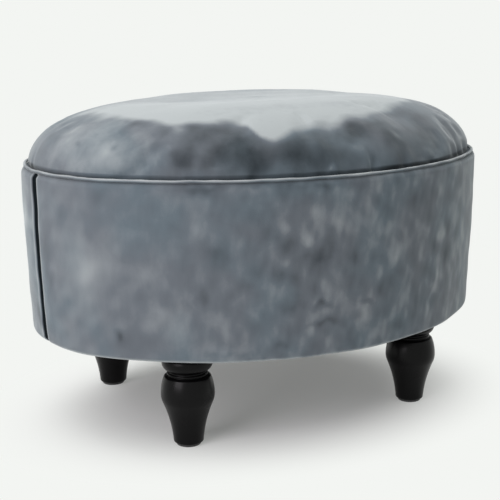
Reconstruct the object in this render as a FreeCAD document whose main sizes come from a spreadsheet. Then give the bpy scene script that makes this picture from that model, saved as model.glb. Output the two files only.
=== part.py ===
import FreeCAD
import Part
import Sketcher
import math
import os

# Upholstered oval footstool: a drum covered in velvet, a domed seat pad on it, four turned feet.
# Origin on the floor under the middle of the stool. X runs along the oval, Y to the back, Z up.

doc = FreeCAD.newDocument("Footstool")
sheet = doc.addObject("Spreadsheet::Sheet", "Sizes")

# Driving dimensions in millimetres, angles in degrees
DIMENSIONS = [
    ("length", 520.0, "oval outline at the top edge of the drum, end to end"),
    ("width", 400.0, "oval outline, front to back"),
    ("join_angle", 46.4, "where an end arc runs into a side arc, seen from the end arc's centre"),
    ("total_height", 338.0, "floor to the crown of the seat"),
    ("foot_height", 98.0, "floor to the top of a foot"),
    ("side_height", 177.0, "top of the feet to the rolled top edge of the drum"),
    ("lean", 5.5, "how far the side leans in, from its top edge to its bottom edge"),
    ("side_bulge", 1.0, "how far the padded side swells out at half its height"),
    ("soft_gap", 0.2, "clearance beside every soft layer"),
    ("fit_gap", 0.1, "clearance round a fastener, on the radius"),
    ("velvet", 1.2, "velvet with its backing"),
    ("turn_in", 25.0, "velvet turned in over the top board and under the base board"),
    ("seam_setback", 20.0, "side seams, in front of the middle of the ends"),
    ("seam_gap", 3.0, "ditch between the folded edges at a side seam"),
    ("padding", 5.0, "foam on the side of the drum"),
    ("padding_setback", 40.0, "joint in the side foam, behind the middle of the ends"),
    ("shell", 3.0, "bent hardboard skin of the drum"),
    ("shell_joint", 0.5, "gap where the two skins or the two foam strips meet"),
    ("base_thickness", 15.0, "plywood that carries the feet"),
    ("top_thickness", 12.0, "plywood that closes the drum"),
    ("seat_thickness", 12.0, "plywood under the seat foam"),
    ("seat_clearance", 1.0, "seat board's edge inside the foam's face"),
    ("pad_inset", 9.0, "seat pad's edge inside the outline of the drum"),
    ("flat_radius", 35.0, "end arc of the flat part of the crown"),
    ("wadding", 5.0, "polyester wadding over the foam"),
    ("cover_flange", 22.0, "seat cover turned in under the seat board"),
    ("welt_diameter", 3.2, "velvet welt between drum and pad"),
    ("welt_skin", 0.5, "cloth of the welt"),
    ("welt_inset", 4.0, "middle of the welt, inside the face of the drum"),
    ("dust_cover", 0.6, "non-woven cloth under the base"),
    ("dust_margin", 10.0, "velvet left bare outside the dust cover"),
    ("post_side", 38.0, "square posts between the boards"),
    ("post_from_end", 45.0, "axis of an end post, from the end of the oval"),
    ("post_from_side", 55.0, "axis of a side post, from the side of the oval"),
    ("post_spacing", 150.0, "between the two posts on one long side"),
    ("foot_from_end", 123.3, "axis of a foot, from the end of the oval"),
    ("foot_from_side", 91.8, "axis of a foot, from the side of the oval"),
    ("collar_radius", 23.0, "flat top of a foot"),
    ("bead_radius", 26.0, "top bead of a foot"),
    ("bead_round", 10.0, "rounding of the top bead"),
    ("bead_drop", 10.0, "middle of the top bead, below the foot's top"),
    ("neck_radius", 19.3, "groove under the top bead"),
    ("reel_radius", 20.8, "narrow ring under the groove"),
    ("reel_drop", 20.9, "top of the narrow ring, below the foot's top"),
    ("shoulder_drop", 24.0, "shoulder, below the foot's top"),
    ("shoulder_bevel", 2.5, "bevel of the shoulder"),
    ("belly_radius", 27.4, "widest part of a foot"),
    ("belly_drop", 44.0, "widest part, below the foot's top"),
    ("belly_upper", 50.0, "arc from the belly up to the shoulder"),
    ("belly_lower", 20.0, "arc from the belly down to the shank"),
    ("shank_arc", 130.0, "hollow arc of the shank"),
    ("toe_radius", 15.4, "foot just above its toe"),
    ("toe_bevel", 2.2, "bevel round the toe"),
    ("glide", 2.5, "nylon glide under a foot"),
    ("glide_radius", 12.5, "nylon glide"),
    ("nail_radius", 1.2, "nail of a glide"),
    ("nail_length", 14.0, "nail of a glide, into the foot"),
    ("bolt_radius", 3.9, "hanger bolt, over its thread"),
    ("bolt_in_foot", 40.0, "hanger bolt, in the foot"),
    ("bolt_above", 5.0, "hanger bolt, past the top of the base board"),
    ("bolt_tip", 6.0, "pointed end of a hanger bolt"),
    ("nut_radius", 5.0, "barrel of a tee nut"),
    ("nut_length", 11.0, "barrel of a tee nut, in the base board"),
    ("nut_flange", 11.0, "flange of a tee nut, radius"),
    ("nut_plate", 1.5, "flange of a tee nut, thickness"),
    ("screw_radius", 2.2, "shank of a board screw"),
    ("screw_head", 4.4, "countersunk head, radius"),
    ("post_screw", 45.0, "length of a screw through a board into a post"),
    ("seat_screw", 22.0, "length of a screw through the top board into the seat board"),
    ("seat_screw_x", 120.0, "seat screws, from the middle along the oval"),
    ("seat_screw_y", 60.0, "seat screws, from the middle across the oval"),
    ("screw_tip", 4.0, "pointed end of a screw"),
]
for row, (name, size, meaning) in enumerate(DIMENSIONS, start=1):
    sheet.set(f"A{row}", meaning)
    sheet.set(f"B{row}", str(size))
    sheet.setAlias(f"B{row}", name)
doc.recompute()

# Sizes that follow from the driving ones, written as formulas of the sheet.
# The outline is an oval of four arcs, so a layer inside it is the same oval with shorter radii.
END = "Sizes.length / 2"
SIDE = "Sizes.width / 2"
SLANT = "(1 - sin(Sizes.join_angle)) / cos(Sizes.join_angle)"
END_RADIUS = f"({SIDE} - {END} * {SLANT}) / (1 - {SLANT})"
END_CENTRE = f"({END} - {END_RADIUS})"
SIDE_CENTRE = f"{END_CENTRE} * tan(Sizes.join_angle)"
SIDE_RADIUS = f"({END_RADIUS} + {END_CENTRE} / cos(Sizes.join_angle))"

# Heights, from the feet up
TURNED_UNDER = "(Sizes.foot_height + Sizes.dust_cover + Sizes.soft_gap)"
BASE = f"({TURNED_UNDER} + Sizes.velvet + Sizes.soft_gap)"
BASE_TOP = f"({BASE} + Sizes.base_thickness)"
DRUM_TOP = "(Sizes.foot_height + Sizes.side_height)"
LID_TOP = f"({DRUM_TOP} - Sizes.velvet - Sizes.soft_gap)"
LID = f"({LID_TOP} - Sizes.top_thickness)"
PAD = f"({DRUM_TOP} + Sizes.soft_gap)"
SEAT = f"({PAD} + Sizes.velvet + Sizes.soft_gap)"
FOAM = f"({SEAT} + Sizes.seat_thickness + Sizes.soft_gap)"

# Depths of the side's layers, in from the velvet's face
FOAM_FACE = "(Sizes.velvet + Sizes.soft_gap)"
FOAM_BACK = f"({FOAM_FACE} + Sizes.padding)"
SHELL_FACE = f"({FOAM_BACK} + Sizes.soft_gap)"
SHELL_BACK = f"({SHELL_FACE} + Sizes.shell)"
BOARD_EDGE = f"({SHELL_BACK} + Sizes.soft_gap)"

FOOT_X = f"({END} - Sizes.foot_from_end)"
FOOT_Y = f"({SIDE} - Sizes.foot_from_side)"


def lean(height):
    """How far the side has leaned in at a height, as a formula."""
    return f"Sizes.lean * ({DRUM_TOP} - ({height})) / Sizes.side_height"


def value(formula):
    return float(sheet.evalExpression(formula))


def new_body(label):
    body = doc.addObject("PartDesign::Body", label)
    body.Label = label
    return body


def new_sketch(body, name, role, height=None):
    """A sketch on one of the body's own origin planes, raised to a height where one is given."""
    sketch = body.newObject("Sketcher::SketchObject", name)
    plane = next(item for item in body.Origin.OriginFeatures if item.Role == role)
    sketch.AttachmentSupport = (plane, [""])
    sketch.MapMode = "FlatFace"
    if height:
        sketch.setExpression("AttachmentOffset.Base.z", height)
    return sketch


def drive(sketch, kind, target, formula):
    """Adds a dimension to a sketch and binds it to a formula."""
    index = sketch.addConstraint(Sketcher.Constraint(kind, *target, value(formula)))
    sketch.setExpression(f"Constraints[{index}]", formula)


def arc(centre, radius, start, end):
    """An arc that runs anticlockwise from one angle to another, in radians."""
    circle = Part.Circle(centre, FreeCAD.Vector(0, 0, 1), radius)
    return Part.ArcOfCircle(circle, start, end)


def arc_between(centre, start, end):
    """An arc that runs anticlockwise from one point to another."""
    first = start - centre
    last = end - centre
    return arc(centre, first.Length, math.atan2(first.y, first.x), math.atan2(last.y, last.x))


def point(x, y=0):
    return FreeCAD.Vector(x, y, 0)


def oval(body, name, inset, height=None, path=False):
    """The stool's oval, drawn in by an inset: two end arcs and two side arcs, each tangent to the next.

    A path for a swept piece has its right end arc in two, so that it starts on the X axis.
    """
    sketch = new_sketch(body, name, "XY_Plane", height)
    turn = math.radians(value("Sizes.join_angle"))
    end_radius = value(f"{END_RADIUS} - ({inset})")
    side_radius = value(f"{SIDE_RADIUS} - ({inset})")
    end_centre = value(END_CENTRE)
    side_centre = value(SIDE_CENTRE)
    arcs = [
        arc(point(end_centre), end_radius, 0 if path else -turn, turn),
        arc(point(0, -side_centre), side_radius, turn, math.pi - turn),
        arc(point(-end_centre), end_radius, math.pi - turn, math.pi + turn),
        arc(point(0, side_centre), side_radius, math.pi + turn, 2 * math.pi - turn),
    ]
    if path:
        arcs.append(arc(point(end_centre), end_radius, -turn, 0))
    for item in arcs:
        sketch.addGeometry(item, False)
    for first in range(3):
        sketch.addConstraint(Sketcher.Constraint("Tangent", first, 2, first + 1, 1))
    if path:
        sketch.addConstraint(Sketcher.Constraint("Tangent", 3, 2, 4, 1))
        sketch.addConstraint(Sketcher.Constraint("Coincident", 4, 2, 0, 1))
        sketch.addConstraint(Sketcher.Constraint("Coincident", 4, 3, 0, 3))
        sketch.addConstraint(Sketcher.Constraint("PointOnObject", 0, 1, -1))
    else:
        sketch.addConstraint(Sketcher.Constraint("Tangent", 3, 2, 0, 1))
    for end in (0, 2):
        sketch.addConstraint(Sketcher.Constraint("PointOnObject", end, 3, -1))
        drive(sketch, "Radius", (end,), f"{END_RADIUS} - ({inset})")
    drive(sketch, "DistanceX", (-1, 1, 0, 3), END_CENTRE)
    drive(sketch, "DistanceX", (2, 3, -1, 1), END_CENTRE)
    for side in (1, 3):
        drive(sketch, "Radius", (side,), f"{SIDE_RADIUS} - ({inset})")
    return sketch


def outline(body, name, corners, role="XZ_Plane", height=None):
    """A closed sketch round its corners, each (across, up) as formulas, anticlockwise.

    A corner with a third item starts an arc of that radius to the next one, its centre to the left
    of the way round, or to the right where a fourth item says so.
    """
    sketch = new_sketch(body, name, role, height)
    points = [point(value(corner[0]), value(corner[1])) for corner in corners]
    count = len(corners)
    ends = []
    for index, corner in enumerate(corners):
        start = points[index]
        end = points[(index + 1) % count]
        if len(corner) == 2:
            sketch.addGeometry(Part.LineSegment(start, end), False)
            ends.append((1, 2))
            continue
        radius = value(corner[2])
        chord = end - start
        left = point(-chord.y, chord.x).normalize()
        depth = math.sqrt(radius ** 2 - chord.Length ** 2 / 4)
        if len(corner) == 3:
            sketch.addGeometry(arc_between((start + end) / 2 + left * depth, start, end), False)
            ends.append((1, 2))
        else:
            sketch.addGeometry(arc_between((start + end) / 2 - left * depth, end, start), False)
            ends.append((2, 1))
    for index, corner in enumerate(corners):
        following = (index + 1) % count
        sketch.addConstraint(
            Sketcher.Constraint("Coincident", index, ends[index][1], following, ends[following][0]))
        drive(sketch, "DistanceX", (-1, 1, index, ends[index][0]), corner[0])
        drive(sketch, "DistanceY", (-1, 1, index, ends[index][0]), corner[1])
        if len(corner) > 2:
            drive(sketch, "Radius", (index,), corner[2])
    return sketch


def rectangle(body, name, left, right, front, back, height):
    corners = [(left, front), (right, front), (right, back), (left, back)]
    return outline(body, name, corners, "XY_Plane", height)


def circles(body, name, places, radius, height):
    """A sketch of equal circles at the given places."""
    sketch = new_sketch(body, name, "XY_Plane", height)
    for index, (across, along) in enumerate(places):
        centre = point(value(across), value(along))
        sketch.addGeometry(Part.Circle(centre, FreeCAD.Vector(0, 0, 1), value(radius)), False)
        drive(sketch, "DistanceX", (-1, 1, index, 3), across)
        drive(sketch, "DistanceY", (-1, 1, index, 3), along)
        drive(sketch, "Radius", (index,), radius)
    return sketch


def pad(body, sketch, thickness):
    feature = body.newObject("PartDesign::Pad", "Pad")
    feature.Profile = sketch
    feature.setExpression("Length", thickness)
    return feature


def pocket(body, sketch, depth=None, upward=False):
    """Cuts a sketch down into the body, or up, to a depth or right through."""
    feature = body.newObject("PartDesign::Pocket", "Pocket")
    feature.Profile = sketch
    feature.Reversed = upward
    if depth:
        feature.setExpression("Length", depth)
    else:
        feature.Type = "ThroughAll"
    return feature


def countersunk(body, sketch, upward):
    """Countersunk holes through a board, their mouths below the board or above it."""
    doc.recompute()
    feature = body.newObject("PartDesign::Hole", "Hole")
    feature.Profile = sketch
    feature.Reversed = upward
    feature.DepthType = "ThroughAll"
    feature.HoleCutType = "Countersink"
    feature.HoleCutCustomValues = True
    feature.setExpression("Diameter", "2 * (Sizes.screw_radius + Sizes.fit_gap)")
    feature.setExpression("HoleCutDiameter", "2 * (Sizes.screw_head + Sizes.fit_gap)")
    feature.HoleCutCountersinkAngle = 90
    return feature


def sweep(body, section, kind="PartDesign::AdditivePipe"):
    """Carries a section, drawn at the right end of the oval, once round it."""
    feature = body.newObject(kind, "Sweep")
    feature.Profile = section
    feature.Spine = oval(body, "Path", "0", path=True)
    return feature


def split(body, line, keep_front):
    """Cuts away what lies behind a line across the oval, or in front of it."""
    front = line if keep_front else "-Sizes.width"
    back = "Sizes.width" if keep_front else line
    half = rectangle(body, "Half", "-Sizes.length", "Sizes.length", front, back, "Sizes.total_height")
    return pocket(body, half)


# Turned feet: hardwood, a bead under a collar, a neck with a narrow ring, a belly and a hollow
# shank. The belly's arcs meet at its widest point and the shank is tangent to the lower one.
def turned_foot(label, x, y):
    body = new_body(label)
    sketch = new_sketch(body, "Profile", "XZ_Plane")
    top = value("Sizes.foot_height")
    toe = value("Sizes.glide")
    bevel = value("Sizes.toe_bevel")
    shoulder = top - value("Sizes.shoulder_drop")
    belly = top - value("Sizes.belly_drop")
    bead = top - value("Sizes.bead_drop")
    reel = top - value("Sizes.reel_drop")
    neck = value("Sizes.neck_radius")
    ring = value("Sizes.reel_radius")
    collar = value("Sizes.collar_radius")
    upper = value("Sizes.belly_upper")
    lower = value("Sizes.belly_lower")
    shank = value("Sizes.shank_arc")
    corner = value("Sizes.shoulder_bevel")
    widest = point(value("Sizes.belly_radius"), belly)
    toe_edge = point(value("Sizes.toe_radius") - bevel, toe)
    toe_top = toe_edge + point(bevel, bevel)

    # the shank's centre lies outside the foot, in line with the lower belly arc's centre
    lower_centre = widest - point(lower)
    span = toe_top - lower_centre
    reach = shank + lower
    swing = math.acos((reach ** 2 + span.Length ** 2 - shank ** 2) / (2 * reach * span.Length))
    turn = math.atan2(span.y, span.x) + swing
    aim = point(math.cos(turn), math.sin(turn))
    shank_centre = lower_centre + aim * reach
    shank_top = lower_centre + aim * lower

    # the upper belly arc runs up to the shoulder's bevel
    upper_centre = widest - point(upper)
    upper_rise = shoulder - corner - belly
    belly_top = upper_centre + point(math.sqrt(upper ** 2 - upper_rise ** 2), upper_rise)
    corner_top = belly_top + point(-corner, corner)

    bead_round = value("Sizes.bead_round")
    bead_centre = point(value("Sizes.bead_radius") - bead_round, bead)
    bead_low = point(neck, bead - math.sqrt(bead_round ** 2 - (neck - bead_centre.x) ** 2))
    bead_high = point(collar, bead + math.sqrt(bead_round ** 2 - (collar - bead_centre.x) ** 2))

    pieces = [
        Part.LineSegment(point(0, toe), toe_edge),
        Part.LineSegment(toe_edge, toe_top),
        arc_between(shank_centre, shank_top, toe_top),
        arc_between(lower_centre, shank_top, widest),
        arc_between(upper_centre, widest, belly_top),
        Part.LineSegment(belly_top, corner_top),
        Part.LineSegment(corner_top, point(ring, shoulder)),
        Part.LineSegment(point(ring, shoulder), point(ring, reel)),
        Part.LineSegment(point(ring, reel), point(neck, reel)),
        Part.LineSegment(point(neck, reel), bead_low),
        arc_between(bead_centre, bead_low, bead_high),
        Part.LineSegment(bead_high, point(collar, top)),
        Part.LineSegment(point(collar, top), point(0, top)),
        Part.LineSegment(point(0, top), point(0, toe)),
    ]
    for piece in pieces:
        sketch.addGeometry(piece, False)
    # every piece starts where the one before it ends, but the shank's arc, which is hollow, runs back
    shank_arc = 2
    head = [2 if index == shank_arc else 1 for index in range(len(pieces))]
    tail = [3 - end for end in head]
    tangent_from = (2, 3)
    for index in range(len(pieces)):
        following = (index + 1) % len(pieces)
        kind = "Tangent" if index in tangent_from else "Coincident"
        sketch.addConstraint(Sketcher.Constraint(kind, index, tail[index], following, head[following]))
    for level in (0, 6, 8, 12):
        sketch.addConstraint(Sketcher.Constraint("Horizontal", level))
    for upright in (7, 9, 11, 13):
        sketch.addConstraint(Sketcher.Constraint("Vertical", upright))
    sketch.addConstraint(Sketcher.Constraint("PointOnObject", 13, 1, -2))
    sketch.addConstraint(Sketcher.Constraint("Horizontal", 3, 3, 4, 3))
    drive(sketch, "DistanceX", (5, 2, 5, 1), "Sizes.shoulder_bevel")
    for index, radius in ((2, "shank_arc"), (3, "belly_lower"), (4, "belly_upper"), (10, "bead_round")):
        drive(sketch, "Radius", (index,), f"Sizes.{radius}")
    for index, end, across in (
        (1, 1, "Sizes.toe_radius - Sizes.toe_bevel"), (1, 2, "Sizes.toe_radius"),
        (3, 3, "Sizes.belly_radius - Sizes.belly_lower"), (7, 1, "Sizes.reel_radius"),
        (9, 1, "Sizes.neck_radius"), (10, 3, "Sizes.bead_radius - Sizes.bead_round"),
        (11, 2, "Sizes.collar_radius"),
    ):
        drive(sketch, "DistanceX", (-1, 1, index, end), across)
    for index, end, height in (
        (1, 1, "Sizes.glide"), (1, 2, "Sizes.glide + Sizes.toe_bevel"),
        (3, 3, "Sizes.foot_height - Sizes.belly_drop"),
        (5, 1, "Sizes.foot_height - Sizes.shoulder_drop - Sizes.shoulder_bevel"),
        (7, 1, "Sizes.foot_height - Sizes.shoulder_drop"),
        (7, 2, "Sizes.foot_height - Sizes.reel_drop"),
        (10, 3, "Sizes.foot_height - Sizes.bead_drop"), (12, 1, "Sizes.foot_height"),
    ):
        drive(sketch, "DistanceY", (-1, 1, index, end), height)
    turning = body.newObject("PartDesign::Revolution", "Turning")
    turning.Profile = sketch
    turning.ReferenceAxis = (sketch, ["V_Axis"])
    centre = [("0", "0")]
    bolt_hole = circles(body, "BoltHole", centre, "Sizes.bolt_radius + Sizes.fit_gap",
                        "Sizes.foot_height")
    pocket(body, bolt_hole, "Sizes.bolt_in_foot + Sizes.fit_gap")
    nail_hole = circles(body, "NailHole", centre, "Sizes.nail_radius + Sizes.fit_gap", "Sizes.glide")
    pocket(body, nail_hole, "Sizes.nail_length + Sizes.fit_gap", upward=True)
    body.setExpression("Placement.Base.x", x)
    body.setExpression("Placement.Base.y", y)
    return body


# Glides: a nylon disc with its nail, driven up into each foot
def nylon_glide(label, x, y):
    body = new_body(label)
    edge = "Sizes.glide / 5"
    corners = [
        ("0", "0"),
        (f"Sizes.glide_radius - {edge}", "0"),
        ("Sizes.glide_radius", edge),
        ("Sizes.glide_radius", "Sizes.glide"),
        ("Sizes.nail_radius", "Sizes.glide"),
        ("Sizes.nail_radius", "Sizes.glide + Sizes.nail_length"),
        ("0", "Sizes.glide + Sizes.nail_length"),
    ]
    sketch = outline(body, "Profile", corners)
    turning = body.newObject("PartDesign::Revolution", "Turning")
    turning.Profile = sketch
    turning.ReferenceAxis = (sketch, ["V_Axis"])
    body.setExpression("Placement.Base.x", x)
    body.setExpression("Placement.Base.y", y)
    return body


CORNERS = [
    ("front_left", f"-{FOOT_X}", f"-{FOOT_Y}"),
    ("front_right", FOOT_X, f"-{FOOT_Y}"),
    ("back_left", f"-{FOOT_X}", FOOT_Y),
    ("back_right", FOOT_X, FOOT_Y),
]
FOOT_PLACES = [(x, y) for place, x, y in CORNERS]
for place, x, y in CORNERS:
    turned_foot(f"foot_{place}", x, y)
    nylon_glide(f"glide_{place}", x, y)

# Posts: where they stand, with a pilot hole for a screw in each end
END_POST = f"({END} - Sizes.post_from_end)"
SIDE_POST = f"({SIDE} - Sizes.post_from_side)"
HALF_SPACING = "Sizes.post_spacing / 2"
POSTS = [
    ("left", f"-{END_POST}", "0"),
    ("right", END_POST, "0"),
    ("front_left", f"-{HALF_SPACING}", f"-{SIDE_POST}"),
    ("front_right", HALF_SPACING, f"-{SIDE_POST}"),
    ("back_left", f"-{HALF_SPACING}", SIDE_POST),
    ("back_right", HALF_SPACING, SIDE_POST),
]
POST_PLACES = [(x, y) for place, x, y in POSTS]
SCREW_HOLE = "Sizes.screw_radius + Sizes.fit_gap"
for place, x, y in POSTS:
    body = new_body(f"post_{place}")
    half = "Sizes.post_side / 2"
    square = rectangle(body, "Square", f"-{half}", half, f"-{half}", half, BASE_TOP)
    pad(body, square, f"{LID} - {BASE_TOP}")
    bottom_hole = circles(body, "BottomHole", [("0", "0")], SCREW_HOLE, BASE_TOP)
    pocket(body, bottom_hole, "Sizes.post_screw - Sizes.base_thickness + Sizes.fit_gap", upward=True)
    top_hole = circles(body, "TopHole", [("0", "0")], SCREW_HOLE, LID)
    pocket(body, top_hole, "Sizes.post_screw - Sizes.top_thickness + Sizes.fit_gap")
    body.setExpression("Placement.Base.x", x)
    body.setExpression("Placement.Base.y", y)

# Base board: birch plywood with a bore for each tee nut and a countersunk hole under each post
body = new_body("base_board")
pad(body, oval(body, "Edge", f"{BOARD_EDGE} + {lean(BASE)}", BASE), "Sizes.base_thickness")
nut_bores = circles(body, "NutBores", FOOT_PLACES, "Sizes.nut_radius + Sizes.fit_gap", BASE_TOP)
pocket(body, nut_bores)
countersunk(body, circles(body, "ScrewHoles", POST_PLACES, SCREW_HOLE, BASE), upward=True)

# Top board: closes the drum and takes the seat pad's screws from below
SEAT_SCREWS = [
    (f"{along}Sizes.seat_screw_x", f"{across}Sizes.seat_screw_y")
    for along in ("-", "") for across in ("-", "")
]
body = new_body("top_board")
pad(body, oval(body, "Edge", f"{BOARD_EDGE} + {lean(LID)}", LID), "Sizes.top_thickness")
countersunk(body, circles(body, "PostScrewHoles", POST_PLACES, SCREW_HOLE, LID_TOP), upward=False)
countersunk(body, circles(body, "SeatScrewHoles", SEAT_SCREWS, SCREW_HOLE, LID), upward=True)

# Seat board: carries the foam, with a pilot hole for each seat screw. Its edge stays inside the foam
# where the dome has drawn in at the height of the board's top.
WADDING_FACE = FOAM_FACE
FOAM_SIDE = f"({WADDING_FACE} + Sizes.wadding + Sizes.soft_gap)"
FOAM_RISE = f"(Sizes.total_height - {FOAM_SIDE} - {SEAT})"
SHOULDER = f"({END_RADIUS} - Sizes.pad_inset - Sizes.flat_radius)"
DRAWN_IN = f"{SHOULDER} * (1 - sqrt(1 - (Sizes.seat_thickness / {FOAM_RISE})^2))"
SEAT_SCREW_DEPTH = f"(Sizes.seat_screw - ({SEAT} - {LID}))"
body = new_body("seat_board")
edge = oval(body, "Edge", f"Sizes.pad_inset + {FOAM_SIDE} + {DRAWN_IN} + Sizes.seat_clearance", SEAT)
pad(body, edge, "Sizes.seat_thickness")
pilots = circles(body, "Pilots", SEAT_SCREWS, SCREW_HOLE, SEAT)
pocket(body, pilots, f"{SEAT_SCREW_DEPTH} + Sizes.fit_gap", upward=True)

# Hardboard skins: bent round the edges of the two boards, leaning in towards the base
BESIDE = {"front": True, "back": False}
for place, in_front in BESIDE.items():
    body = new_body(f"shell_{place}")
    section = outline(body, "Section", [
        (f"{END} - {SHELL_BACK} - {lean(BASE)}", BASE),
        (f"{END} - {SHELL_FACE} - {lean(BASE)}", BASE),
        (f"{END} - {SHELL_FACE} - {lean(LID_TOP)}", LID_TOP),
        (f"{END} - {SHELL_BACK} - {lean(LID_TOP)}", LID_TOP),
    ])
    sweep(body, section)
    split(body, "-Sizes.shell_joint / 2" if in_front else "Sizes.shell_joint / 2", in_front)

# Side foam: glued on the skins, its edges rounded where the velvet rolls over and under the drum.
# The side swells out between the two rolls on one long arc.
ROLL_TOP = f"({DRUM_TOP} - {SHELL_FACE})"
ROLL_BOTTOM = f"({TURNED_UNDER} + {SHELL_FACE})"
SWELL = f"(({ROLL_TOP} - {ROLL_BOTTOM})^2 / (8 * Sizes.side_bulge) + Sizes.side_bulge / 2)"
FOAM_ROUND = f"({SHELL_FACE} - {FOAM_FACE})"
FOAM_REACH = f"sqrt({FOAM_ROUND}^2 - ({SHELL_FACE} - {FOAM_BACK})^2)"
FOAM_TOP = f"({ROLL_TOP} + {FOAM_REACH})"
FOAM_BOTTOM = f"({ROLL_BOTTOM} - {FOAM_REACH})"
for place, in_front in BESIDE.items():
    body = new_body(f"padding_{place}")
    section = outline(body, "Section", [
        (f"{END} - {FOAM_FACE} - {lean(ROLL_BOTTOM)}", ROLL_BOTTOM, SWELL),
        (f"{END} - {FOAM_FACE} - {lean(ROLL_TOP)}", ROLL_TOP, FOAM_ROUND),
        (f"{END} - {FOAM_BACK} - {lean(FOAM_TOP)}", FOAM_TOP),
        (f"{END} - {FOAM_BACK} - {lean(FOAM_BOTTOM)}", FOAM_BOTTOM, FOAM_ROUND),
    ])
    sweep(body, section)
    line = "Sizes.padding_setback"
    gap = "Sizes.shell_joint / 2"
    split(body, f"{line} - {gap}" if in_front else f"{line} + {gap}", in_front)

# Velvet side panels: rolled over the top edge on to the top board, down the padded side, and turned
# in under the base board. They meet at a side seam near each end.
ROLL_IN = f"({SHELL_FACE} + {lean(ROLL_TOP)})"
ROLL_UNDER = f"({SHELL_FACE} + {lean(ROLL_BOTTOM)})"
INNER_ROLL = f"({SHELL_FACE} - Sizes.velvet)"
for place, in_front in BESIDE.items():
    body = new_body(f"band_{place}")
    section = outline(body, "Section", [
        (f"{END} - {ROLL_UNDER} - Sizes.turn_in", TURNED_UNDER),
        (f"{END} - {ROLL_UNDER}", TURNED_UNDER, SHELL_FACE),
        (f"{END} - {lean(ROLL_BOTTOM)}", ROLL_BOTTOM, SWELL),
        (f"{END} - {lean(ROLL_TOP)}", ROLL_TOP, SHELL_FACE),
        (f"{END} - {ROLL_IN}", DRUM_TOP),
        (f"{END} - {ROLL_IN} - Sizes.turn_in", DRUM_TOP),
        (f"{END} - {ROLL_IN} - Sizes.turn_in", f"{DRUM_TOP} - Sizes.velvet"),
        (f"{END} - {ROLL_IN}", f"{DRUM_TOP} - Sizes.velvet", INNER_ROLL, "right"),
        (f"{END} - Sizes.velvet - {lean(ROLL_TOP)}", ROLL_TOP, SWELL, "right"),
        (f"{END} - Sizes.velvet - {lean(ROLL_BOTTOM)}", ROLL_BOTTOM, INNER_ROLL, "right"),
        (f"{END} - {ROLL_UNDER}", f"{TURNED_UNDER} + Sizes.velvet"),
        (f"{END} - {ROLL_UNDER} - Sizes.turn_in", f"{TURNED_UNDER} + Sizes.velvet"),
    ])
    sweep(body, section)
    line = "-Sizes.seam_setback"
    gap = "Sizes.seam_gap / 2"
    split(body, f"{line} - {gap}" if in_front else f"{line} + {gap}", in_front)

# Seat pad: foam on the seat board, wadding over it, and the velvet cover drawn down round both and
# turned in under the board. Each is a dome of ovals whose height and inset follow a quarter
# ellipse, from the pad's upright edge to the flat of the crown.
DOME_STEPS = 7


def dome(body, kind, depth, bottom):
    """A dome that lies at a depth inside the face of the pad, from a bottom height up."""
    rise = f"(Sizes.total_height - ({depth}) - {bottom})"
    sections = []
    for step in range(DOME_STEPS + 1):
        angle = 90 * step / DOME_STEPS
        inset = f"Sizes.pad_inset + {depth} + {SHOULDER} * (1 - cos({angle}))"
        sections.append(oval(body, "Level", inset, f"{bottom} + {rise} * sin({angle})"))
    feature = body.newObject(kind, "Dome")
    feature.Profile = sections[0]
    feature.Sections = sections[1:]
    feature.Ruled = True
    return feature


body = new_body("seat_foam")
dome(body, "PartDesign::AdditiveLoft", FOAM_SIDE, SEAT)
pocket(body, oval(body, "BoardRecess", "Sizes.pad_inset", FOAM))

body = new_body("seat_wadding")
dome(body, "PartDesign::AdditiveLoft", WADDING_FACE, SEAT)
dome(body, "PartDesign::SubtractiveLoft", f"{WADDING_FACE} + Sizes.wadding", SEAT)

body = new_body("seat_cover")
dome(body, "PartDesign::AdditiveLoft", "0", PAD)
dome(body, "PartDesign::SubtractiveLoft", "Sizes.velvet", f"({PAD} + Sizes.velvet)")
opening = oval(body, "Opening", "Sizes.pad_inset + Sizes.cover_flange", f"({PAD} + Sizes.velvet)")
pocket(body, opening)

# Welt: a cord in a narrow tube of velvet, sewn along the rolled top edge of the drum
WELT_RADIUS = "Sizes.welt_diameter / 2"
WELT_BORE = f"({WELT_RADIUS} - Sizes.welt_skin)"
WELT_INSET = f"(Sizes.welt_inset + {lean(ROLL_TOP)})"
WELT_REACH = f"({SHELL_FACE} + Sizes.soft_gap + {WELT_RADIUS})"
WELT_HEIGHT = f"({ROLL_TOP} + sqrt({WELT_REACH}^2 - ({SHELL_FACE} - Sizes.welt_inset)^2))"


def welt_section(body, radius, sides):
    """A polygon whose flats stand at a radius from the middle of the welt."""
    half_turn = 180 / sides
    corner = f"({radius}) / cos({half_turn})"
    turns = [half_turn * (2 * side + 1) for side in range(sides)]
    return outline(body, "Section", [
        (f"{END} - {WELT_INSET} + {corner} * cos({turn})", f"{WELT_HEIGHT} + {corner} * sin({turn})")
        for turn in turns
    ])


body = new_body("welt_cover")
sweep(body, welt_section(body, WELT_RADIUS, 8))
sweep(body, welt_section(body, WELT_BORE, 6), "PartDesign::SubtractivePipe")
body = new_body("welt_cord")
sweep(body, welt_section(body, f"{WELT_BORE} - Sizes.fit_gap", 6))

# Dust cover: black non-woven cloth over the turned-in velvet, pierced for the bolts
body = new_body("dust_cover")
edge = oval(body, "Edge", f"{ROLL_UNDER} + Sizes.dust_margin", "Sizes.foot_height")
pad(body, edge, "Sizes.dust_cover")
pierced = circles(body, "Pierced", FOOT_PLACES, "Sizes.nut_radius", TURNED_UNDER)
pocket(body, pierced)


# Fasteners: plain shapes of revolution, grouped by kind
def primitive(kind, name, x, y, z, sizes):
    """A part primitive at a place, with its sizes bound to formulas."""
    item = doc.addObject(kind, name)
    for key, formula in sizes.items():
        item.setExpression(key, formula)
    for key, formula in zip("xyz", (x, y, z)):
        item.setExpression(f"Placement.Base.{key}", formula)
    return item


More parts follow.
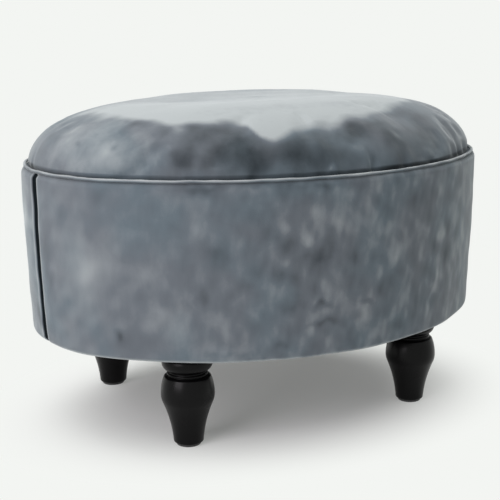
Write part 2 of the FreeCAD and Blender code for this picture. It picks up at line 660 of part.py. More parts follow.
def fused(name, items):
    joined = doc.addObject("Part::MultiFuse", name)
    joined.Shapes = items
    return joined


def group(label, items):
    compound = doc.addObject("Part::Compound", label)
    compound.Label = label
    compound.Links = items
    return compound


def cylinder(name, x, y, z, radius, height):
    return primitive("Part::Cylinder", name, x, y, z, {"Radius": radius, "Height": height})


def cone(name, x, y, z, lower, upper, height):
    sizes = {"Radius1": lower, "Radius2": upper, "Height": height}
    return primitive("Part::Cone", name, x, y, z, sizes)


BOLT_LOW = "(Sizes.foot_height - Sizes.bolt_in_foot)"
bolts = []
nuts = []
for x, y in FOOT_PLACES:
    point_top = f"{BOLT_LOW} + Sizes.bolt_tip"
    stem = cylinder("BoltStem", x, y, point_top, "Sizes.bolt_radius",
                    f"{BASE_TOP} + Sizes.bolt_above - ({point_top})")
    tip = cone("BoltTip", x, y, BOLT_LOW, "0", "Sizes.bolt_radius", "Sizes.bolt_tip")
    bolts.append(fused("Bolt", [stem, tip]))
    plate = cylinder("NutPlate", x, y, BASE_TOP, "Sizes.nut_flange", "Sizes.nut_plate")
    barrel = cylinder("NutBarrel", x, y, f"{BASE_TOP} - Sizes.nut_length", "Sizes.nut_radius",
                      "Sizes.nut_length")
    bore = cylinder("NutBore", x, y, BASE, "Sizes.bolt_radius + Sizes.fit_gap",
                    "Sizes.base_thickness + Sizes.nut_plate")
    nut = doc.addObject("Part::Cut", "Nut")
    nut.Base = fused("NutBody", [plate, barrel])
    nut.Tool = bore
    nuts.append(nut)
group("hanger_bolts", bolts)
group("tee_nuts", nuts)


def screw(x, y, head, length, points_up):
    """A countersunk screw with its head's flat face at a height, pointing up or down."""
    head_depth = "(Sizes.screw_head - Sizes.screw_radius)"
    shank = f"({length} - {head_depth} - Sizes.screw_tip)"
    if points_up:
        parts = [
            cone("Head", x, y, head, "Sizes.screw_head", "Sizes.screw_radius", head_depth),
            cylinder("Shank", x, y, f"{head} + {head_depth}", "Sizes.screw_radius", shank),
            cone("Tip", x, y, f"{head} + {length} - Sizes.screw_tip", "Sizes.screw_radius", "0",
                 "Sizes.screw_tip"),
        ]
    else:
        parts = [
            cone("Head", x, y, f"{head} - {head_depth}", "Sizes.screw_radius", "Sizes.screw_head",
                 head_depth),
            cylinder("Shank", x, y, f"{head} - {length} + Sizes.screw_tip", "Sizes.screw_radius", shank),
            cone("Tip", x, y, f"{head} - {length}", "0", "Sizes.screw_radius", "Sizes.screw_tip"),
        ]
    return fused("Screw", parts)


post_screws = [screw(x, y, BASE, "Sizes.post_screw", True) for x, y in POST_PLACES]
post_screws += [screw(x, y, LID_TOP, "Sizes.post_screw", False) for x, y in POST_PLACES]
group("board_screws", post_screws)
group("seat_screws", [screw(x, y, LID, "Sizes.seat_screw", True) for x, y in SEAT_SCREWS])

doc.recompute()

# Check every object and that each cut removed material, then write one file for each piece
CUTS = ("PartDesign::Pocket", "PartDesign::Hole", "PartDesign::SubtractiveLoft",
        "PartDesign::SubtractivePipe")
for item in doc.Objects:
    if "Invalid" in item.State or "Error" in item.State:
        raise RuntimeError(f"{item.Label} failed: {item.State}")
    if item.TypeId in CUTS:
        if item.Shape.Volume > item.BaseFeature.Shape.Volume - 1:
            raise RuntimeError(f"{item.Label} of {item.getParent().Label} cuts nothing")

os.makedirs("parts", exist_ok=True)
pieces = [item for item in doc.Objects if item.TypeId in ("PartDesign::Body", "Part::Compound")]
for piece in pieces:
    shape = piece.Shape
    if shape.isNull() or not shape.isValid() or not shape.Solids:
        raise RuntimeError(f"{piece.Label} has no valid solid")
for piece in pieces:
    piece.Shape.exportStep(f"parts/{piece.Label}.step")
    box = piece.Shape.optimalBoundingBox(False, False)
    print(f"{piece.Label}: {len(piece.Shape.Solids)} solids, {piece.Shape.Volume / 1000:.1f} cm3,"
          f" z {box.ZMin:.1f} to {box.ZMax:.1f}")
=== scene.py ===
import math

import bmesh
import bpy
import numpy as np
from mathutils import Matrix, Vector


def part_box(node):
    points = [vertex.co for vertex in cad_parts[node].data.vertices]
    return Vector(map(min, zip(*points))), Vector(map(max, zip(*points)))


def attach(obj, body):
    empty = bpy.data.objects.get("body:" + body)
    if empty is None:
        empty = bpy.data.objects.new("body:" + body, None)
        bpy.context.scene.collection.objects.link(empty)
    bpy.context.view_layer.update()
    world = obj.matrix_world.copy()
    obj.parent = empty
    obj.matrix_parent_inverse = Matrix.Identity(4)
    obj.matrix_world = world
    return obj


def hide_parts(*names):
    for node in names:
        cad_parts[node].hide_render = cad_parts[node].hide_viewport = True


# An oval footstool: a plywood drum with a padded side, covered in grey-blue velvet, a domed velvet
# seat pad on it, a welt along the drum's top edge, and four turned feet lacquered black.
# Everything is in metres, with the floor at z 0, x along the oval and y to the back.

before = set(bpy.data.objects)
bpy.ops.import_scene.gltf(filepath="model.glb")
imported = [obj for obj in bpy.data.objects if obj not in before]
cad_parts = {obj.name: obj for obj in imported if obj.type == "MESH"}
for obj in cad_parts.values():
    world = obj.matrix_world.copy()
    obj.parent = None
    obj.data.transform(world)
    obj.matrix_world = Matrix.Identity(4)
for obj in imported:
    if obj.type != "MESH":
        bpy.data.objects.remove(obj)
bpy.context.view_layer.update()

# Boards of the drum and the seat
# Three ovals of birch plywood, raw. The base board carries the feet, the top board closes the drum,
# and the seat board lies under the foam. They are cut on a router and sanded.
BOARD_GRAIN_MM = 9.0
PLY_LIGHT = "#d9bd8c"
PLY_DARK = "#b98f5a"


def colour(code):
    """An sRGB hex colour as linear red, green, blue and a full alpha."""
    parts = [int(code[i:i + 2], 16) / 255 for i in (1, 3, 5)]
    return tuple(p / 12.92 if p <= 0.04045 else ((p + 0.055) / 1.055) ** 2.4 for p in parts) + (1.0,)


def add(tree, kind, inputs=(), **settings):
    """Adds a shader node. Settings are its properties, inputs its sockets' values, hex codes or links."""
    node = tree.nodes.new("ShaderNode" + kind)
    for name, value in settings.items():
        setattr(node, name, value)
    for name, value in dict(inputs).items():
        if isinstance(value, bpy.types.NodeSocket):
            tree.links.new(value, node.inputs[name])
        else:
            node.inputs[name].default_value = colour(value) if isinstance(value, str) else value
    return node


def start_material(name):
    """A new material with an empty tree, and the place on the piece that its patterns are laid by."""
    material = bpy.data.materials.new(name)
    material.use_nodes = True
    tree = material.node_tree
    tree.nodes.clear()
    place = add(tree, "TexCoord").outputs["Object"]
    return material, tree, place


def sawn_wood(name, light, dark, grain_mm, stretch, roughness):
    """Raw sanded wood: a noise drawn out along the grain gives the figure, and one six times finer
    gives the pores, which are drawn coarse so that they show."""
    material, tree, place = start_material(name)
    laid = add(tree, "Mapping", {"Vector": place, "Scale": stretch}).outputs["Vector"]
    figure = add(tree, "TexNoise", {"Vector": laid, "Scale": 1000 / grain_mm, "Detail": 4.0,
                                    "Distortion": 0.6}).outputs["Fac"]
    pores = add(tree, "TexNoise", {"Vector": laid, "Scale": 6000 / grain_mm, "Detail": 2.0}).outputs["Fac"]
    band = add(tree, "MapRange", {"Value": figure, "From Min": 0.35, "From Max": 0.68}).outputs["Result"]
    shade = add(tree, "Mix", {0: band, 6: light, 7: dark}, data_type="RGBA").outputs[2]
    relief = add(tree, "Bump", {"Height": pores, "Strength": 0.25, "Distance": 0.0003}).outputs["Normal"]
    surface = add(tree, "BsdfPrincipled", {"Base Color": shade, "Roughness": roughness, "Normal": relief})
    add(tree, "OutputMaterial", {"Surface": surface.outputs["BSDF"]})
    return material


def finish_node(node, material):
    """Puts a finish on a CAD node that keeps its own shape."""
    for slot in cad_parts[node].material_slots:
        slot.material = material


birch_plywood_sanded = sawn_wood("birch_plywood_sanded", PLY_LIGHT, PLY_DARK, BOARD_GRAIN_MM,
                                 (0.12, 1.0, 1.0), 0.62)
for board in ("base_board", "top_board", "seat_board"):
    finish_node(board, birch_plywood_sanded)

# Posts
# Six square pine posts, planed, stand between the two boards of the drum. A screw through each
# board holds them.
PINE_GRAIN_MM = 6.0
pine_planed = sawn_wood("pine_planed", "#dcbf8f", "#c39a63", PINE_GRAIN_MM, (1.0, 1.0, 0.1), 0.6)
for post in ("left", "right", "front_left", "front_right", "back_left", "back_right"):
    finish_node(f"post_{post}", pine_planed)

# Hardboard skins
# Two strips of 3 mm hardboard, bent round the boards and stapled. The board is wood fibre pressed
# hard, an even brown with darker flecks of bark.
FLECK_MM = 1.5


def pressed_fibre(name):
    """Hardboard: short dark flecks that lie every way, on a surface that the press left smooth."""
    material, tree, place = start_material(name)
    fleck = add(tree, "TexNoise", {"Vector": place, "Scale": 1000 / FLECK_MM, "Detail": 3.0,
                                   "Distortion": 1.5}).outputs["Fac"]
    few = add(tree, "MapRange", {"Value": fleck, "From Min": 0.45, "From Max": 0.72}).outputs["Result"]
    shade = add(tree, "Mix", {0: few, 6: "#75513a", 7: "#4c3223"}, data_type="RGBA").outputs[2]
    relief = add(tree, "Bump", {"Height": fleck, "Strength": 0.1, "Distance": 0.0002}).outputs["Normal"]
    surface = add(tree, "BsdfPrincipled", {"Base Color": shade, "Roughness": 0.45, "Normal": relief})
    add(tree, "OutputMaterial", {"Surface": surface.outputs["BSDF"]})
    return material


hardboard_pressed = pressed_fibre("hardboard_pressed")
for shell in ("shell_front", "shell_back"):
    finish_node(shell, hardboard_pressed)

# Bolts, nuts and screws
# Hanger bolts and tee nuts hold the feet, wood screws hold the posts and the seat. They are mild
# steel with bright zinc plate, a pale, slightly blue metal with a soft mottle.
ZINC_CRYSTAL_MM = 1.1


def zinc_plate(name):
    """Zinc on steel: nearly even in colour, its roughness mottled by the crystals of the plate. They
    are finer than 0.1 mm, and are drawn coarse so that they show."""
    material, tree, place = start_material(name)
    mottle = add(tree, "TexNoise", {"Vector": place, "Scale": 1000 / ZINC_CRYSTAL_MM,
                                    "Detail": 2.0}).outputs["Fac"]
    shade = add(tree, "Mix", {0: mottle, 6: "#b9bcc0", 7: "#a3a7ad"}, data_type="RGBA").outputs[2]
    rough = add(tree, "MapRange", {"Value": mottle, "To Min": 0.28, "To Max": 0.42}).outputs["Result"]
    surface = add(tree, "BsdfPrincipled", {"Base Color": shade, "Metallic": 1.0, "Roughness": rough})
    add(tree, "OutputMaterial", {"Surface": surface.outputs["BSDF"]})
    return material


steel_zinc_plated = zinc_plate("steel_zinc_plated")
for fastener in ("hanger_bolts", "tee_nuts", "board_screws", "seat_screws"):
    finish_node(fastener, steel_zinc_plated)

# Turned feet
# Beech, turned on a lathe: a bead under a flat collar, a neck with a fine half round, a belly and a
# hollow shank. Stained black and sprayed with a satin lacquer that pools a little in the grooves.
MM = 0.001
FOOT_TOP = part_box("foot_front_left")[1].z
FOOT_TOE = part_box("foot_front_left")[0].z
COLLAR_RADIUS = 23.0 * MM
BEAD_RADIUS, BEAD_ROUND, BEAD_DROP = 26.0 * MM, 10.0 * MM, 10.0 * MM
NECK_RADIUS = 19.3 * MM
REEL_ROUND, REEL_DROP = 1.5 * MM, 22.2 * MM
SHOULDER_DROP, SHOULDER_ROUND = 24.0 * MM, 3.0 * MM
BELLY_RADIUS, BELLY_DROP = 27.4 * MM, 44.0 * MM
BELLY_UPPER, BELLY_LOWER = 50.0 * MM, 20.0 * MM
SHANK_ARC, TOE_RADIUS, TOE_ROUND = 130.0 * MM, 15.4 * MM, 2.2 * MM
TURNING_SIDES = 96
CORNERS = ("front_left", "front_right", "back_left", "back_right")
PORE_MM = 2.4
RING_MM = 1.2
SPRAY_MM = 16.7
WAVE_STEP = 0.314


def bend(centre, radius, start, end, count):
    """Points of an arc about a centre (across, up), from one angle to another in degrees."""
    turn = np.radians(np.linspace(start, end, count))
    return np.stack([centre[0] + radius * np.cos(turn), centre[1] + radius * np.sin(turn)], axis=1)


def foot_profile():
    """The foot's outline from the middle of the toe to the middle of the top, as (radius, height): arcs
    that touch one another, with short flats at the neck and the collar."""
    toe = FOOT_TOE
    belly_z = FOOT_TOP - BELLY_DROP
    lower = np.array([BELLY_RADIUS - BELLY_LOWER, belly_z])
    toe_top = np.array([TOE_RADIUS, toe + TOE_ROUND])
    # the hollow shank's arc touches the belly's lower arc and ends at the top of the toe's rounding
    span = toe_top - lower
    reach = SHANK_ARC + BELLY_LOWER
    length = math.hypot(*span)
    swing = math.acos((reach ** 2 + length ** 2 - SHANK_ARC ** 2) / (2 * reach * length))
    aim = math.atan2(span[1], span[0]) + swing
    hollow = lower + reach * np.array([math.cos(aim), math.sin(aim)])
    hollow_end = math.degrees(math.atan2(*(toe_top - hollow)[::-1]))
    # the shoulder's rounding touches the belly's upper arc from inside
    upper = np.array([BELLY_RADIUS - BELLY_UPPER, belly_z])
    shoulder_z = FOOT_TOP - SHOULDER_DROP
    rise = shoulder_z - SHOULDER_ROUND - belly_z
    corner = upper + np.array([math.sqrt((BELLY_UPPER - SHOULDER_ROUND) ** 2 - rise ** 2), rise])
    meet = math.degrees(math.atan2(*(corner - upper)[::-1]))
    bead = np.array([BEAD_RADIUS - BEAD_ROUND, FOOT_TOP - BEAD_DROP])
    low = math.degrees(math.acos((NECK_RADIUS - bead[0]) / BEAD_ROUND))
    high = math.degrees(math.acos((COLLAR_RADIUS - bead[0]) / BEAD_ROUND))
    reel = np.array([NECK_RADIUS, FOOT_TOP - REEL_DROP])
    return np.concatenate([
        [(0.0, toe)],
        bend((TOE_RADIUS - TOE_ROUND, toe + TOE_ROUND), TOE_ROUND, -90, 0, 7),
        bend(hollow, SHANK_ARC, hollow_end % 360, math.degrees(aim) + 180, 26)[1:],
        bend(lower, BELLY_LOWER, math.degrees(aim), 0, 12)[1:],
        bend(upper, BELLY_UPPER, 0, meet, 14)[1:],
        bend(corner, SHOULDER_ROUND, meet, 90, 8)[1:],
        [(NECK_RADIUS + REEL_ROUND, shoulder_z + 0.1 * MM)],
        bend(reel, REEL_ROUND, -80, 90, 12),
        [(NECK_RADIUS, reel[1] + REEL_ROUND + 0.8 * MM)],
        bend(bead, BEAD_ROUND, -low, high, 26),
        [(COLLAR_RADIUS, FOOT_TOP - 0.5 * MM), (COLLAR_RADIUS - 0.5 * MM, FOOT_TOP), (0.0, FOOT_TOP)],
    ])


def fill_mesh(name, points, faces):
    """A mesh object from points and faces, smooth, with doubled points merged."""
    mesh = bpy.data.meshes.new(name)
    mesh.from_pydata(points.reshape(-1, 3).tolist(), [], faces.tolist())
    work = bmesh.new()
    work.from_mesh(mesh)
    bmesh.ops.remove_doubles(work, verts=work.verts, dist=1e-6)
    work.to_mesh(mesh)
    work.free()
    mesh.shade_smooth()
    piece = bpy.data.objects.new(name, mesh)
    bpy.context.scene.collection.objects.link(piece)
    return piece


def quads(rows, columns, closed=False, looped=False):
    """Faces of a grid of points, row by row. A closed grid joins its last column to its first, and a
    looped one joins its last row to its first as well."""
    row, column = np.meshgrid(np.arange(rows if looped else rows - 1),
                              np.arange(columns if closed else columns - 1), indexing="ij")
    below, beside = (row + 1) % rows, (column + 1) % columns
    corners = [row * columns + column, row * columns + beside,
               below * columns + beside, below * columns + column]
    return np.stack(corners, axis=-1).reshape(-1, 4)


def turned(profile, x, y):
    """A profile of (radius, height) points carried round an upright axis at x, y."""
    turn = np.arange(TURNING_SIDES) * 2 * math.pi / TURNING_SIDES
    radius, height = profile[:, :1], profile[:, 1:]
    return np.stack([x + radius * np.cos(turn), y + radius * np.sin(turn),
                     height + 0 * turn], axis=-1)


def lacquered_beech(name):
    """Black lacquer on turned beech: faint rings left by the gouge, pores just showing in the gloss,
    and a gloss that varies where the spray lay thick or thin. Beech pores of 0.1 mm are drawn coarse
    so that they show. A wave's scale for a real pitch is 0.314 times the waves in a metre."""
    material, tree, place = start_material(name)
    laid = add(tree, "Mapping", {"Vector": place, "Scale": (1.0, 1.0, 0.12)}).outputs["Vector"]
    grain = add(tree, "TexNoise", {"Vector": laid, "Scale": 1000 / PORE_MM, "Detail": 5.0,
                                   "Distortion": 0.4}).outputs["Fac"]
    cloud = add(tree, "TexNoise", {"Vector": place, "Scale": 1000 / SPRAY_MM, "Detail": 2.0}).outputs["Fac"]
    shade = add(tree, "Mix", {0: grain, 6: "#050506", 7: "#0b0a0b"}, data_type="RGBA").outputs[2]
    rough = add(tree, "MapRange", {"Value": cloud, "To Min": 0.22, "To Max": 0.38}).outputs["Result"]
    rings = add(tree, "TexWave", {"Vector": place, "Scale": WAVE_STEP * 1000 / RING_MM, "Distortion": 0.6},
                bands_direction="Z").outputs["Fac"]
    cut = add(tree, "Bump", {"Height": rings, "Strength": 0.08, "Distance": 0.0002}).outputs["Normal"]
    relief = add(tree, "Bump", {"Height": grain, "Strength": 0.12, "Distance": 0.0002,
                                "Normal": cut}).outputs["Normal"]
    surface = add(tree, "BsdfPrincipled", {"Base Color": shade, "Roughness": rough, "IOR": 1.5,
                                           "Specular IOR Level": 0.12, "Coat Weight": 0.03,
                                           "Coat Roughness": 0.12, "Normal": relief})
    add(tree, "OutputMaterial", {"Surface": surface.outputs["BSDF"]})
    return material


beech_black_lacquered = lacquered_beech("beech_black_lacquered")
FOOT_OUTLINE = foot_profile()
for place in CORNERS:
    low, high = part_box(f"foot_{place}")
    points = turned(FOOT_OUTLINE, (low.x + high.x) / 2, (low.y + high.y) / 2)
    foot = fill_mesh(f"turned_foot_{place}", points, quads(len(FOOT_OUTLINE), TURNING_SIDES, True))
    foot.data.materials.append(beech_black_lacquered)
    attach(foot, "root")
    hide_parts(f"foot_{place}")

# Glides
# A nylon disc with a nail is driven up into each foot, to slide and to spare the floor. It is
# moulded, matt, and a little scuffed underneath.
GRIT_MM = 0.667
SCUFF_MM = 4.17


def moulded_nylon(name):
    """Moulded nylon: an even dark grey with a fine satin grit, scuffed paler by the floor."""
    material, tree, place = start_material(name)
    grit = add(tree, "TexNoise", {"Vector": place, "Scale": 1000 / GRIT_MM, "Detail": 2.0}).outputs["Fac"]
    wear = add(tree, "TexNoise", {"Vector": place, "Scale": 1000 / SCUFF_MM, "Detail": 5.0}).outputs["Fac"]
    scuffs = add(tree, "MapRange", {"Value": wear, "From Min": 0.55, "From Max": 0.75}).outputs["Result"]
    shade = add(tree, "Mix", {0: scuffs, 6: "#2a2a2b", 7: "#4a4a4a"}, data_type="RGBA").outputs[2]
    relief = add(tree, "Bump", {"Height": grit, "Strength": 0.2, "Distance": 0.0001}).outputs["Normal"]
    surface = add(tree, "BsdfPrincipled", {"Base Color": shade, "Roughness": 0.45, "IOR": 1.53,
                                           "Normal": relief})
    add(tree, "OutputMaterial", {"Surface": surface.outputs["BSDF"]})
    return material


nylon_moulded = moulded_nylon("nylon_moulded")
for place in CORNERS:
    finish_node(f"glide_{place}", nylon_moulded)

# Velvet side panels
# Two panels of short pile velvet meet at a seam near each end of the drum. Each is rolled over the
# top edge and under the base, and its ends are folded in at the seams, which makes a ditch; painted
# shade darkens the ditch and a painted highlight runs along each folded edge.
DRUM_LENGTH = 0.520
DRUM_WIDTH = 0.400
JOIN = math.radians(46.4)
SLANT = (1 - math.sin(JOIN)) / math.cos(JOIN)
END_RADIUS = (DRUM_WIDTH / 2 - DRUM_LENGTH / 2 * SLANT) / (1 - SLANT)
END_CENTRE = DRUM_LENGTH / 2 - END_RADIUS
SIDE_CENTRE = END_CENTRE * math.tan(JOIN)
SIDE_RADIUS = END_RADIUS + END_CENTRE / math.cos(JOIN)
DRUM_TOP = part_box("band_front")[1].z
DRUM_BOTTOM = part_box("band_front")[0].z
EDGE_ROLL = 6.6 * MM
TURN_IN = 25.0 * MM
VELVET = 1.2 * MM
LEAN = 5.5 * MM
SWELL = 1.0 * MM
FOLD_ROUND = 2.0 * MM
FOLD_DEPTH = 4.4 * MM
SEAM_GAP = 10.0 * MM
STITCH_GAP = 0.1 * MM
STITCH_DIP = 0.3 * MM
SKIN_CLEAR = 0.3 * MM
CELL = 2.3 * MM
CLOUD_MM, PATCH_MM, STREAK_MM = 90, 26, 9
TINT_MM = 70
PILE_MM = 1.4
MARK_DRIFT = 2.6 * MM
PADDING_SOFT, PADDING_FINE = 0.45 * MM, 0.16 * MM
# Painted light, in steps of the pile's lay: highlights along the folded edges and the lower edge, and shade
# in the seam's ditch.
PAINTED_FOLD_HIGHLIGHT, PAINTED_FOLD_HIGHLIGHT_WIDTH = 0.55, 1.6 * MM
PAINTED_HEM_HIGHLIGHT, PAINTED_HEM_HIGHLIGHT_WIDTH = 0.6, 1.5 * MM
PAINTED_DITCH_SHADE = 1.6


def oval(turn, inset):
    """The drum's outline where its outward normal points at an angle, drawn in by an inset. Each end
    is an arc about a point on the long axis, each side an arc about a point on the short one."""
    at_end = np.abs(np.cos(turn)) > math.cos(JOIN)
    radius = np.where(at_end, END_RADIUS, SIDE_RADIUS) - inset
    x = np.where(at_end, END_CENTRE * np.sign(np.cos(turn)), 0) + radius * np.cos(turn)
    y = np.where(at_end, 0, -SIDE_CENTRE * np.sign(np.sin(turn))) + radius * np.sin(turn)
    return x, y


def travel(start, stop):
    """Angles between two along the outline, and how far round it each of them lies, as the running
    sum of short chords."""
    fine = np.linspace(start, stop, 6001)
    x, y = oval(fine, 0)
    return fine, np.concatenate(([0], np.cumsum(np.hypot(np.diff(x), np.diff(y)))))


def unevenness(x, y, z, seed, waves, longest, shortest):
    """A smooth random field between about -1 and 1: waves that cross in all directions, with lengths
    between two limits."""
    draw = np.random.default_rng(seed)
    total = 0
    for _ in range(waves):
        aim = draw.normal(size=3)
        aim *= 2 * math.pi / (draw.uniform(shortest, longest) * np.linalg.norm(aim))
        total = total + np.sin(aim[0] * x + aim[1] * y + aim[2] * z + draw.uniform(0, 2 * math.pi))
    return total / math.sqrt(waves)


def side_profile():
    """The velvet's face from its inner edge on top, round the rolled edge, down the side and in under
    the base, as (inset, height): flats, quarter circles, and between them a straight lean less a
    parabola for the swell."""
    lean_top = LEAN * EDGE_ROLL / (DRUM_TOP - DRUM_BOTTOM)
    lean_low = LEAN - lean_top
    top = (EDGE_ROLL + lean_top, DRUM_TOP - EDGE_ROLL)
    low = (EDGE_ROLL + lean_low, DRUM_BOTTOM + EDGE_ROLL)
    flat = np.linspace(TURN_IN, 0, 7)[:-1]
    down = np.linspace(0, 1, 72)[1:-1]
    roll = np.radians(np.linspace(90, 0, 12))
    side = np.stack([lean_top + (lean_low - lean_top) * down - 4 * SWELL * down * (1 - down),
                     top[1] + (low[1] - top[1]) * down], axis=1)
    return np.concatenate([
        np.stack([top[0] + flat, np.full(6, DRUM_TOP)], axis=1),
        np.stack([top[0] - EDGE_ROLL * np.cos(roll), top[1] + EDGE_ROLL * np.sin(roll)], axis=1),
        side,
        np.stack([low[0] - EDGE_ROLL * np.cos(roll[::-1]), low[1] - EDGE_ROLL * np.sin(roll[::-1])], axis=1),
        np.stack([low[0] + flat[::-1], np.full(6, DRUM_BOTTOM)], axis=1),
    ])


def panel_points(start, stop, profile):
    """A panel on the grid of its profile and its way round the drum. Its two ends are turned in on a
    quarter circle and run down to the stitches at the bottom of the seam's ditch. The ditch runs out
    on the rolled edges, where its floor must stay outside the hardboard's corner: no deeper than the
    roll's radius, less the clearance over the cosine of the slope. The padding makes it all uneven.
    Returns its points, each point's way round from the drum's left end, and painted light: a painted
    highlight along the folded edges and painted shade in the ditch."""
    fine, gone = travel(start, stop)
    length = gone[-1]
    quarter = np.radians(np.linspace(0, 90, 8))
    stitched = (SEAM_GAP - STITCH_GAP) / 2
    fold_along = np.concatenate([[-stitched, 0], FOLD_ROUND * (1 - np.cos(quarter))])
    fold_in = np.concatenate([[FOLD_DEPTH, FOLD_DEPTH - STITCH_DIP], FOLD_ROUND * (1 - np.sin(quarter))])
    middle = np.linspace(FOLD_ROUND, length - FOLD_ROUND, int(length / CELL))[1:-1]
    along = np.concatenate([fold_along, middle, length - fold_along[::-1]])
    inward = np.concatenate([fold_in, 0 * middle, fold_in[::-1]])
    turn = np.where((along > 0) & (along < length), np.interp(along, gone, fine),
                    np.where(along > 0, stop + (along - length) / END_RADIUS, start + along / END_RADIUS))
    inset, height = profile[:, :1], profile[:, 1:]
    slope_in = np.gradient(profile[:, 0])[:, None]
    slope_up = np.gradient(profile[:, 1])[:, None]
    size = np.hypot(slope_in, slope_up)
    out, up = -slope_up / size, -slope_in / size
    x, y = oval(turn, inset)
    z = height + 0 * turn
    face = np.clip((out + 0.2) / 1.0, 0, 1)
    soft = PADDING_SOFT * unevenness(x, y, z, 11, 14, 0.150, 0.055)
    soft = soft + PADDING_FINE * unevenness(x, y, z, 12, 18, 0.045, 0.020)
    clear = EDGE_ROLL - np.minimum((VELVET + SKIN_CLEAR) / np.maximum(out, 0.01), EDGE_ROLL)
    lift = soft * face - inward * np.clip(clear / FOLD_DEPTH, 0.02, 1)
    points = np.stack([x + out * lift * np.cos(turn), y + out * lift * np.sin(turn), z + up * lift], axis=-1)
    edge = np.minimum(along, length - along)
    # Painted highlight along each folded edge, and painted shade where the end is folded into the ditch.
    ditch = PAINTED_FOLD_HIGHLIGHT * np.exp(-((edge - FOLD_ROUND) / PAINTED_FOLD_HIGHLIGHT_WIDTH) ** 2) * (inward < 0.6 * MM)
    ditch = ditch - PAINTED_DITCH_SHADE * np.clip((inward - 0.8 * MM) / (1.0 * MM), 0, 1)
    return points, (along + (start - math.pi) * END_RADIUS) + 0 * z, ditch + 0 * z


# Where hands have brushed the front panel, and a few thin dark strokes of painted shade on the rolled
# edge just under the welt: the way round from the drum's left end, the height, half the width, half
# the height, the lean of the stroke and how pale (+) or dark (-) it left the pile.
FRONT_STROKES = np.array([
    (70, 190, 45, 90, 0, 0.12),
    (38, 180, 6, 44, 0, -0.40), (66, 234, 8, 14, 0, -0.25), (114, 262, 7, 11, 0, -0.22),
    (102, 226, 9, 12, 0, -0.15), (101, 188, 26, 40, 0, 0.22), (128, 123, 5, 5, 0, -0.75),
    (140, 118, 18, 9, 0, -0.25), (208, 270, 15, 4, 0, -0.40), (243, 273, 50, 2.5, 0, -0.30),
    (236, 248, 13, 17, 0, -0.30), (228, 207, 11, 14, 0, -0.35), (256, 212, 16, 22, 0, -0.22),
    (209, 162, 5, 8, 0, -0.35), (230, 166, 11, 8, 0, -0.25), (254, 178, 13, 10, 0, -0.28),
    (150, 160, 10, 12, 0, -0.15), (176, 138, 22, 16, 0, 0.15), (230, 108, 24, 4, 0, -0.20),
    (160, 198, 20, 24, 0, 0.12), (146, 208, 8, 12, 0, -0.15), (278, 236, 14, 17, 0, -0.28),
    (333, 241, 14, 12, 0, 0.42), (266, 202, 13, 8, 0, 0.18), (360, 226, 16, 20, 0, 0.18),
    (406, 221, 13, 9, 0, 0.20), (326, 204, 21, 8, 0, -0.28), (352, 194, 22, 8, 0, -0.28),
    (283, 185, 14, 8, 0, -0.22), (298, 152, 10, 14, 0, -0.40), (331, 150, 7, 2.2, 0.35, -0.90),
    (380, 147, 10, 2.5, 0, -0.45), (338, 134, 22, 3.5, 0, -0.45), (292, 112, 12, 5, 0, -0.35),
    (368, 116, 12, 8, 0, -0.20), (420, 116, 11, 6, 0, -0.40), (454, 128, 9, 9, 0, -0.45),
    (474, 128, 3, 9, 0.25, 0.42), (482, 141, 3, 8, 0.3, 0.30), (489, 158, 3, 9, 0.1, 0.38),
    (500, 134, 3, 10, 0.2, 0.30), (461, 150, 3, 9, 0.2, 0.25), (496, 200, 7, 9, 0, 0.45),
    (467, 230, 6, 15, 0, -0.35), (484, 190, 8, 16, 0, -0.38), (508, 170, 7, 24, 0, -0.38),
    (398, 190, 6, 14, 0, -0.30), (403, 165, 20, 12, 0, -0.22), (323, 271, 22, 3, 0, -0.30),
    (366, 266, 14, 6, 0, -0.18), (441, 247, 22, 14, 0, -0.25), (470, 262, 5, 9, 0.2, 0.30),
])


def hand_marks(way, rise, strokes):
    """How far the pile is brushed pale (+) or dark (-): the sum of bell-shaped spots, one for each
    stroke, looked up at a place that wanders by a few millimetres, so that no mark has a clean edge."""
    drift = [unevenness(way, rise, 0, seed, 14, 0.060, 0.014) for seed in (51, 52, 53, 54)]
    way = way + MARK_DRIFT * drift[0]
    rise = rise + MARK_DRIFT * drift[1]
    marks = 0 * way
    for at, height, wide, tall, lean, strength in strokes:
        across = way - at * MM - lean * (rise - height * MM)
        along = rise - height * MM
        marks = marks + strength * np.exp(-(across / (wide * MM)) ** 2 - (along / (tall * MM)) ** 2)
    return np.tanh(marks * (1 + 0.3 * drift[2])) + 0.05 * drift[3]


def chance_strokes(seed, count, length, low, high):
    """Strokes for a side that isn't seen, of the same sizes and strengths as those that are."""
    draw = np.random.default_rng(seed)
    return np.stack([draw.uniform(0, length, count), draw.uniform(low, high, count),
                     draw.uniform(5, 24, count), draw.uniform(5, 20, count),
                     draw.uniform(-0.3, 0.3, count), draw.normal(-0.08, 0.30, count)], axis=1)


def lay_pile(piece, marks, handled):
    """Keeps on the piece's points the marks of the pile and its painted light and shade, and how much
    the cloth has been handled, from 0 to 1, for its material to read."""
    for name, values in (("pile_lay_and_painted_light", marks), ("pile_handled", handled)):
        kept = piece.data.attributes.new(name, "FLOAT", "POINT")
        kept.data.foreach_set("value", (values + 0 * marks).reshape(-1).astype(np.float32))


